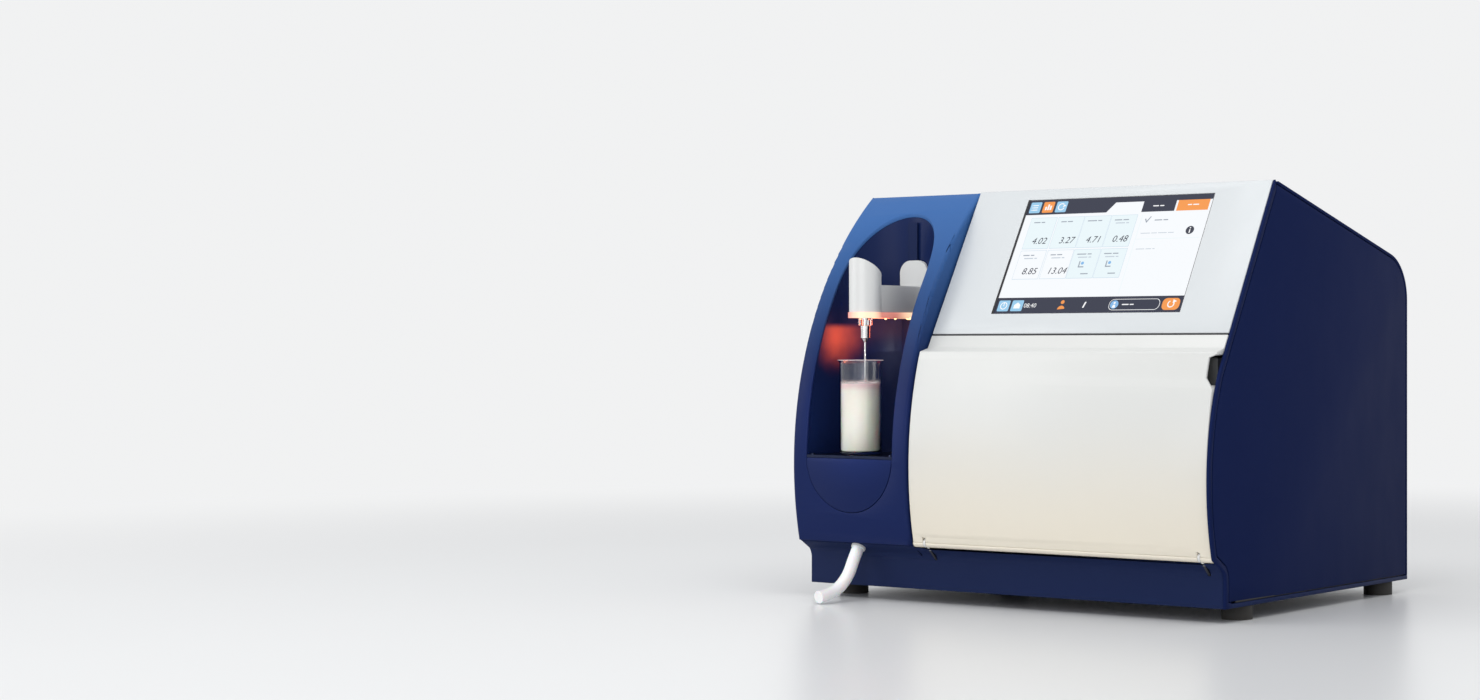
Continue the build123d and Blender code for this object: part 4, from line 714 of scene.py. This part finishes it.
# The side column: a tick, short lines and a round sign
pane("inkGrey", 4, (0.672, 0.205), (0.678, 0.2), (0.684, 0.222), (0.7, 0.182), (0.704, 0.186), (0.685, 0.24))
strokes("inkGrey", 4, 0.725, 0.212, (0.04, 0.025))
strokes("inkLight", 4, 0.672, 0.325, (0.05, 0.03, 0.045, 0.03), 0.006)
disc("inkDark", 4, 0.925, 0.312, 0.021)
disc("markWhite", 5, 0.925, 0.293, 0.0034)
plate("markWhite", 5, 0.9222, 0.306, 0.9278, 0.336)
strokes("inkLight", 4, 0.672, 0.46, (0.045, 0.03, 0.012), 0.006)
plate("tileBlue", 2, 0.652, 0.165, 0.6545, 0.84)
plate("tileBlue", 2, 0.6545, 0.375, 0.985, 0.379)

# The bar along the foot
plate("barNavy", 2, near, 0.862, far, far)
for x in (0.024, 0.098):
    plate("iconBlue", 3, x, 0.885, x + 0.062, 0.978, 0.006)
disc("markWhite", 4, 0.055, 0.931, 0.019, 0.0145)
pane("markWhite", 4, (0.053, 0.9), (0.057, 0.9), (0.057, 0.934), (0.053, 0.934))
pane("markWhite", 4, (0.112, 0.955), (0.112, 0.925), (0.129, 0.903), (0.146, 0.925), (0.146, 0.955))
figures("markWhite", 4, "08:40", 0.2, 0.948, 0.036)
disc("orange", 4, 0.372, 0.905, 0.0095)
disc("orange", 4, 0.372, 0.967, 0.019, 0, 180, 180)
pane("markWhite", 4, (0.484, 0.955), (0.492, 0.955), (0.5, 0.905), (0.492, 0.905))
plate("markWhite", 3, 0.622, 0.885, 0.885, 0.978, 0.024)
plate("barNavy", 4, 0.6245, 0.889, 0.8825, 0.974, 0.022)
disc("discBlue", 5, 0.65, 0.931, 0.021)
disc("markWhite", 6, 0.65, 0.918, 0.0055)
pane("markWhite", 6, (0.641, 0.958), (0.645, 0.933), (0.655, 0.933), (0.659, 0.958))
strokes("markWhite", 5, 0.69, 0.927, (0.035, 0.02))
plate("orange", 3, 0.897, 0.882, 0.986, 0.98, 0.022)
disc("markWhite", 4, 0.9415, 0.931, 0.018, 0.0125, -40, 285)
pane("markWhite", 4, (0.949, 0.893), (0.969, 0.908), (0.949, 0.925))

# A dark strip down the glass's left edge, over the rest
plate("edgeBlack", 7, 0.0, 0.0, 0.013, 1.0)

outward = Vector((0, -slantCos, slantSin))
for name, shapes in panes.items():
    bm = bmesh.new()
    for shape in shapes:
        bm.faces.new([bm.verts.new(point) for point in shape])
    for face in bm.faces:
        face.normal_update()
        if face.normal.dot(outward) < 0:
            face.normal_flip()
    mesh = bpy.data.meshes.new("screen_" + name)
    bm.to_mesh(mesh)
    bm.free()
    look = glowing("screen_" + name, screenColours[name], screenLook["glow"])
    belongs(place("screen_" + name, mesh, look, None), "cabinet", "display_glass")
print("screen drawn")

# The dark seal along the door's upper edge, a box between two heights and two depths of the slant
sealLook = {"left": -94.6, "right": 231.2, "from": 158.65, "to": 160.1, "out": -0.4, "in": -3.4}
bm = bmesh.new()
corners = [bm.verts.new(onSlant(x, down, out)) for x in (sealLook["left"], sealLook["right"])
           for down in (sealLook["from"], sealLook["to"]) for out in (sealLook["out"], sealLook["in"])]
sealFaces = ((0, 1, 3, 2), (4, 6, 7, 5), (0, 4, 5, 1), (2, 3, 7, 6), (0, 2, 6, 4), (1, 5, 7, 3))
for face in sealFaces:
    bm.faces.new([corners[index] for index in face])
belongs(finishMesh("doorSeal", bm, gasketBlack, None), "cabinet", "rubber_dark")


# Drain hose: the route of its solid in mm, as one smooth line
hoseLook = {"radius": 5.9, "length": 0.0728, "round": 12, "smooth": 16,
            "route": ((-167.0, -171.78, 49.65), (-167.0, -178.28, 39.56), (-167.3, -184.2, 27.4),
                      (-167.8, -192.2, 18.5), (-168.6, -202.1, 11.8), (-169.7, -213.6, 8.3),
                      (-171.0, -225.0, 7.1))}
hoseData = bpy.data.curves.new("drainHose", "CURVE")
hoseData.dimensions = "3D"
hoseData.bevel_depth = hoseLook["radius"] / 1000
hoseData.bevel_resolution = hoseLook["round"]
hoseData.use_fill_caps = True
hoseLine = hoseData.splines.new("NURBS")
hoseLine.points.add(len(hoseLook["route"]) - 1)
for point, spot in zip(hoseLine.points, hoseLook["route"]):
    point.co = (*[part / 1000 for part in spot], 1)
hoseLine.order_u = 3
hoseLine.use_endpoint_u = True
hoseLine.resolution_u = hoseLook["smooth"]
hose = bpy.data.objects.new("drainHose", hoseData)
hoseData.materials.append(silicone.material)
bpy.context.scene.collection.objects.link(hose)
belongs(hose, "cabinet", "silicone", "drain_hose")
print("hose laid")
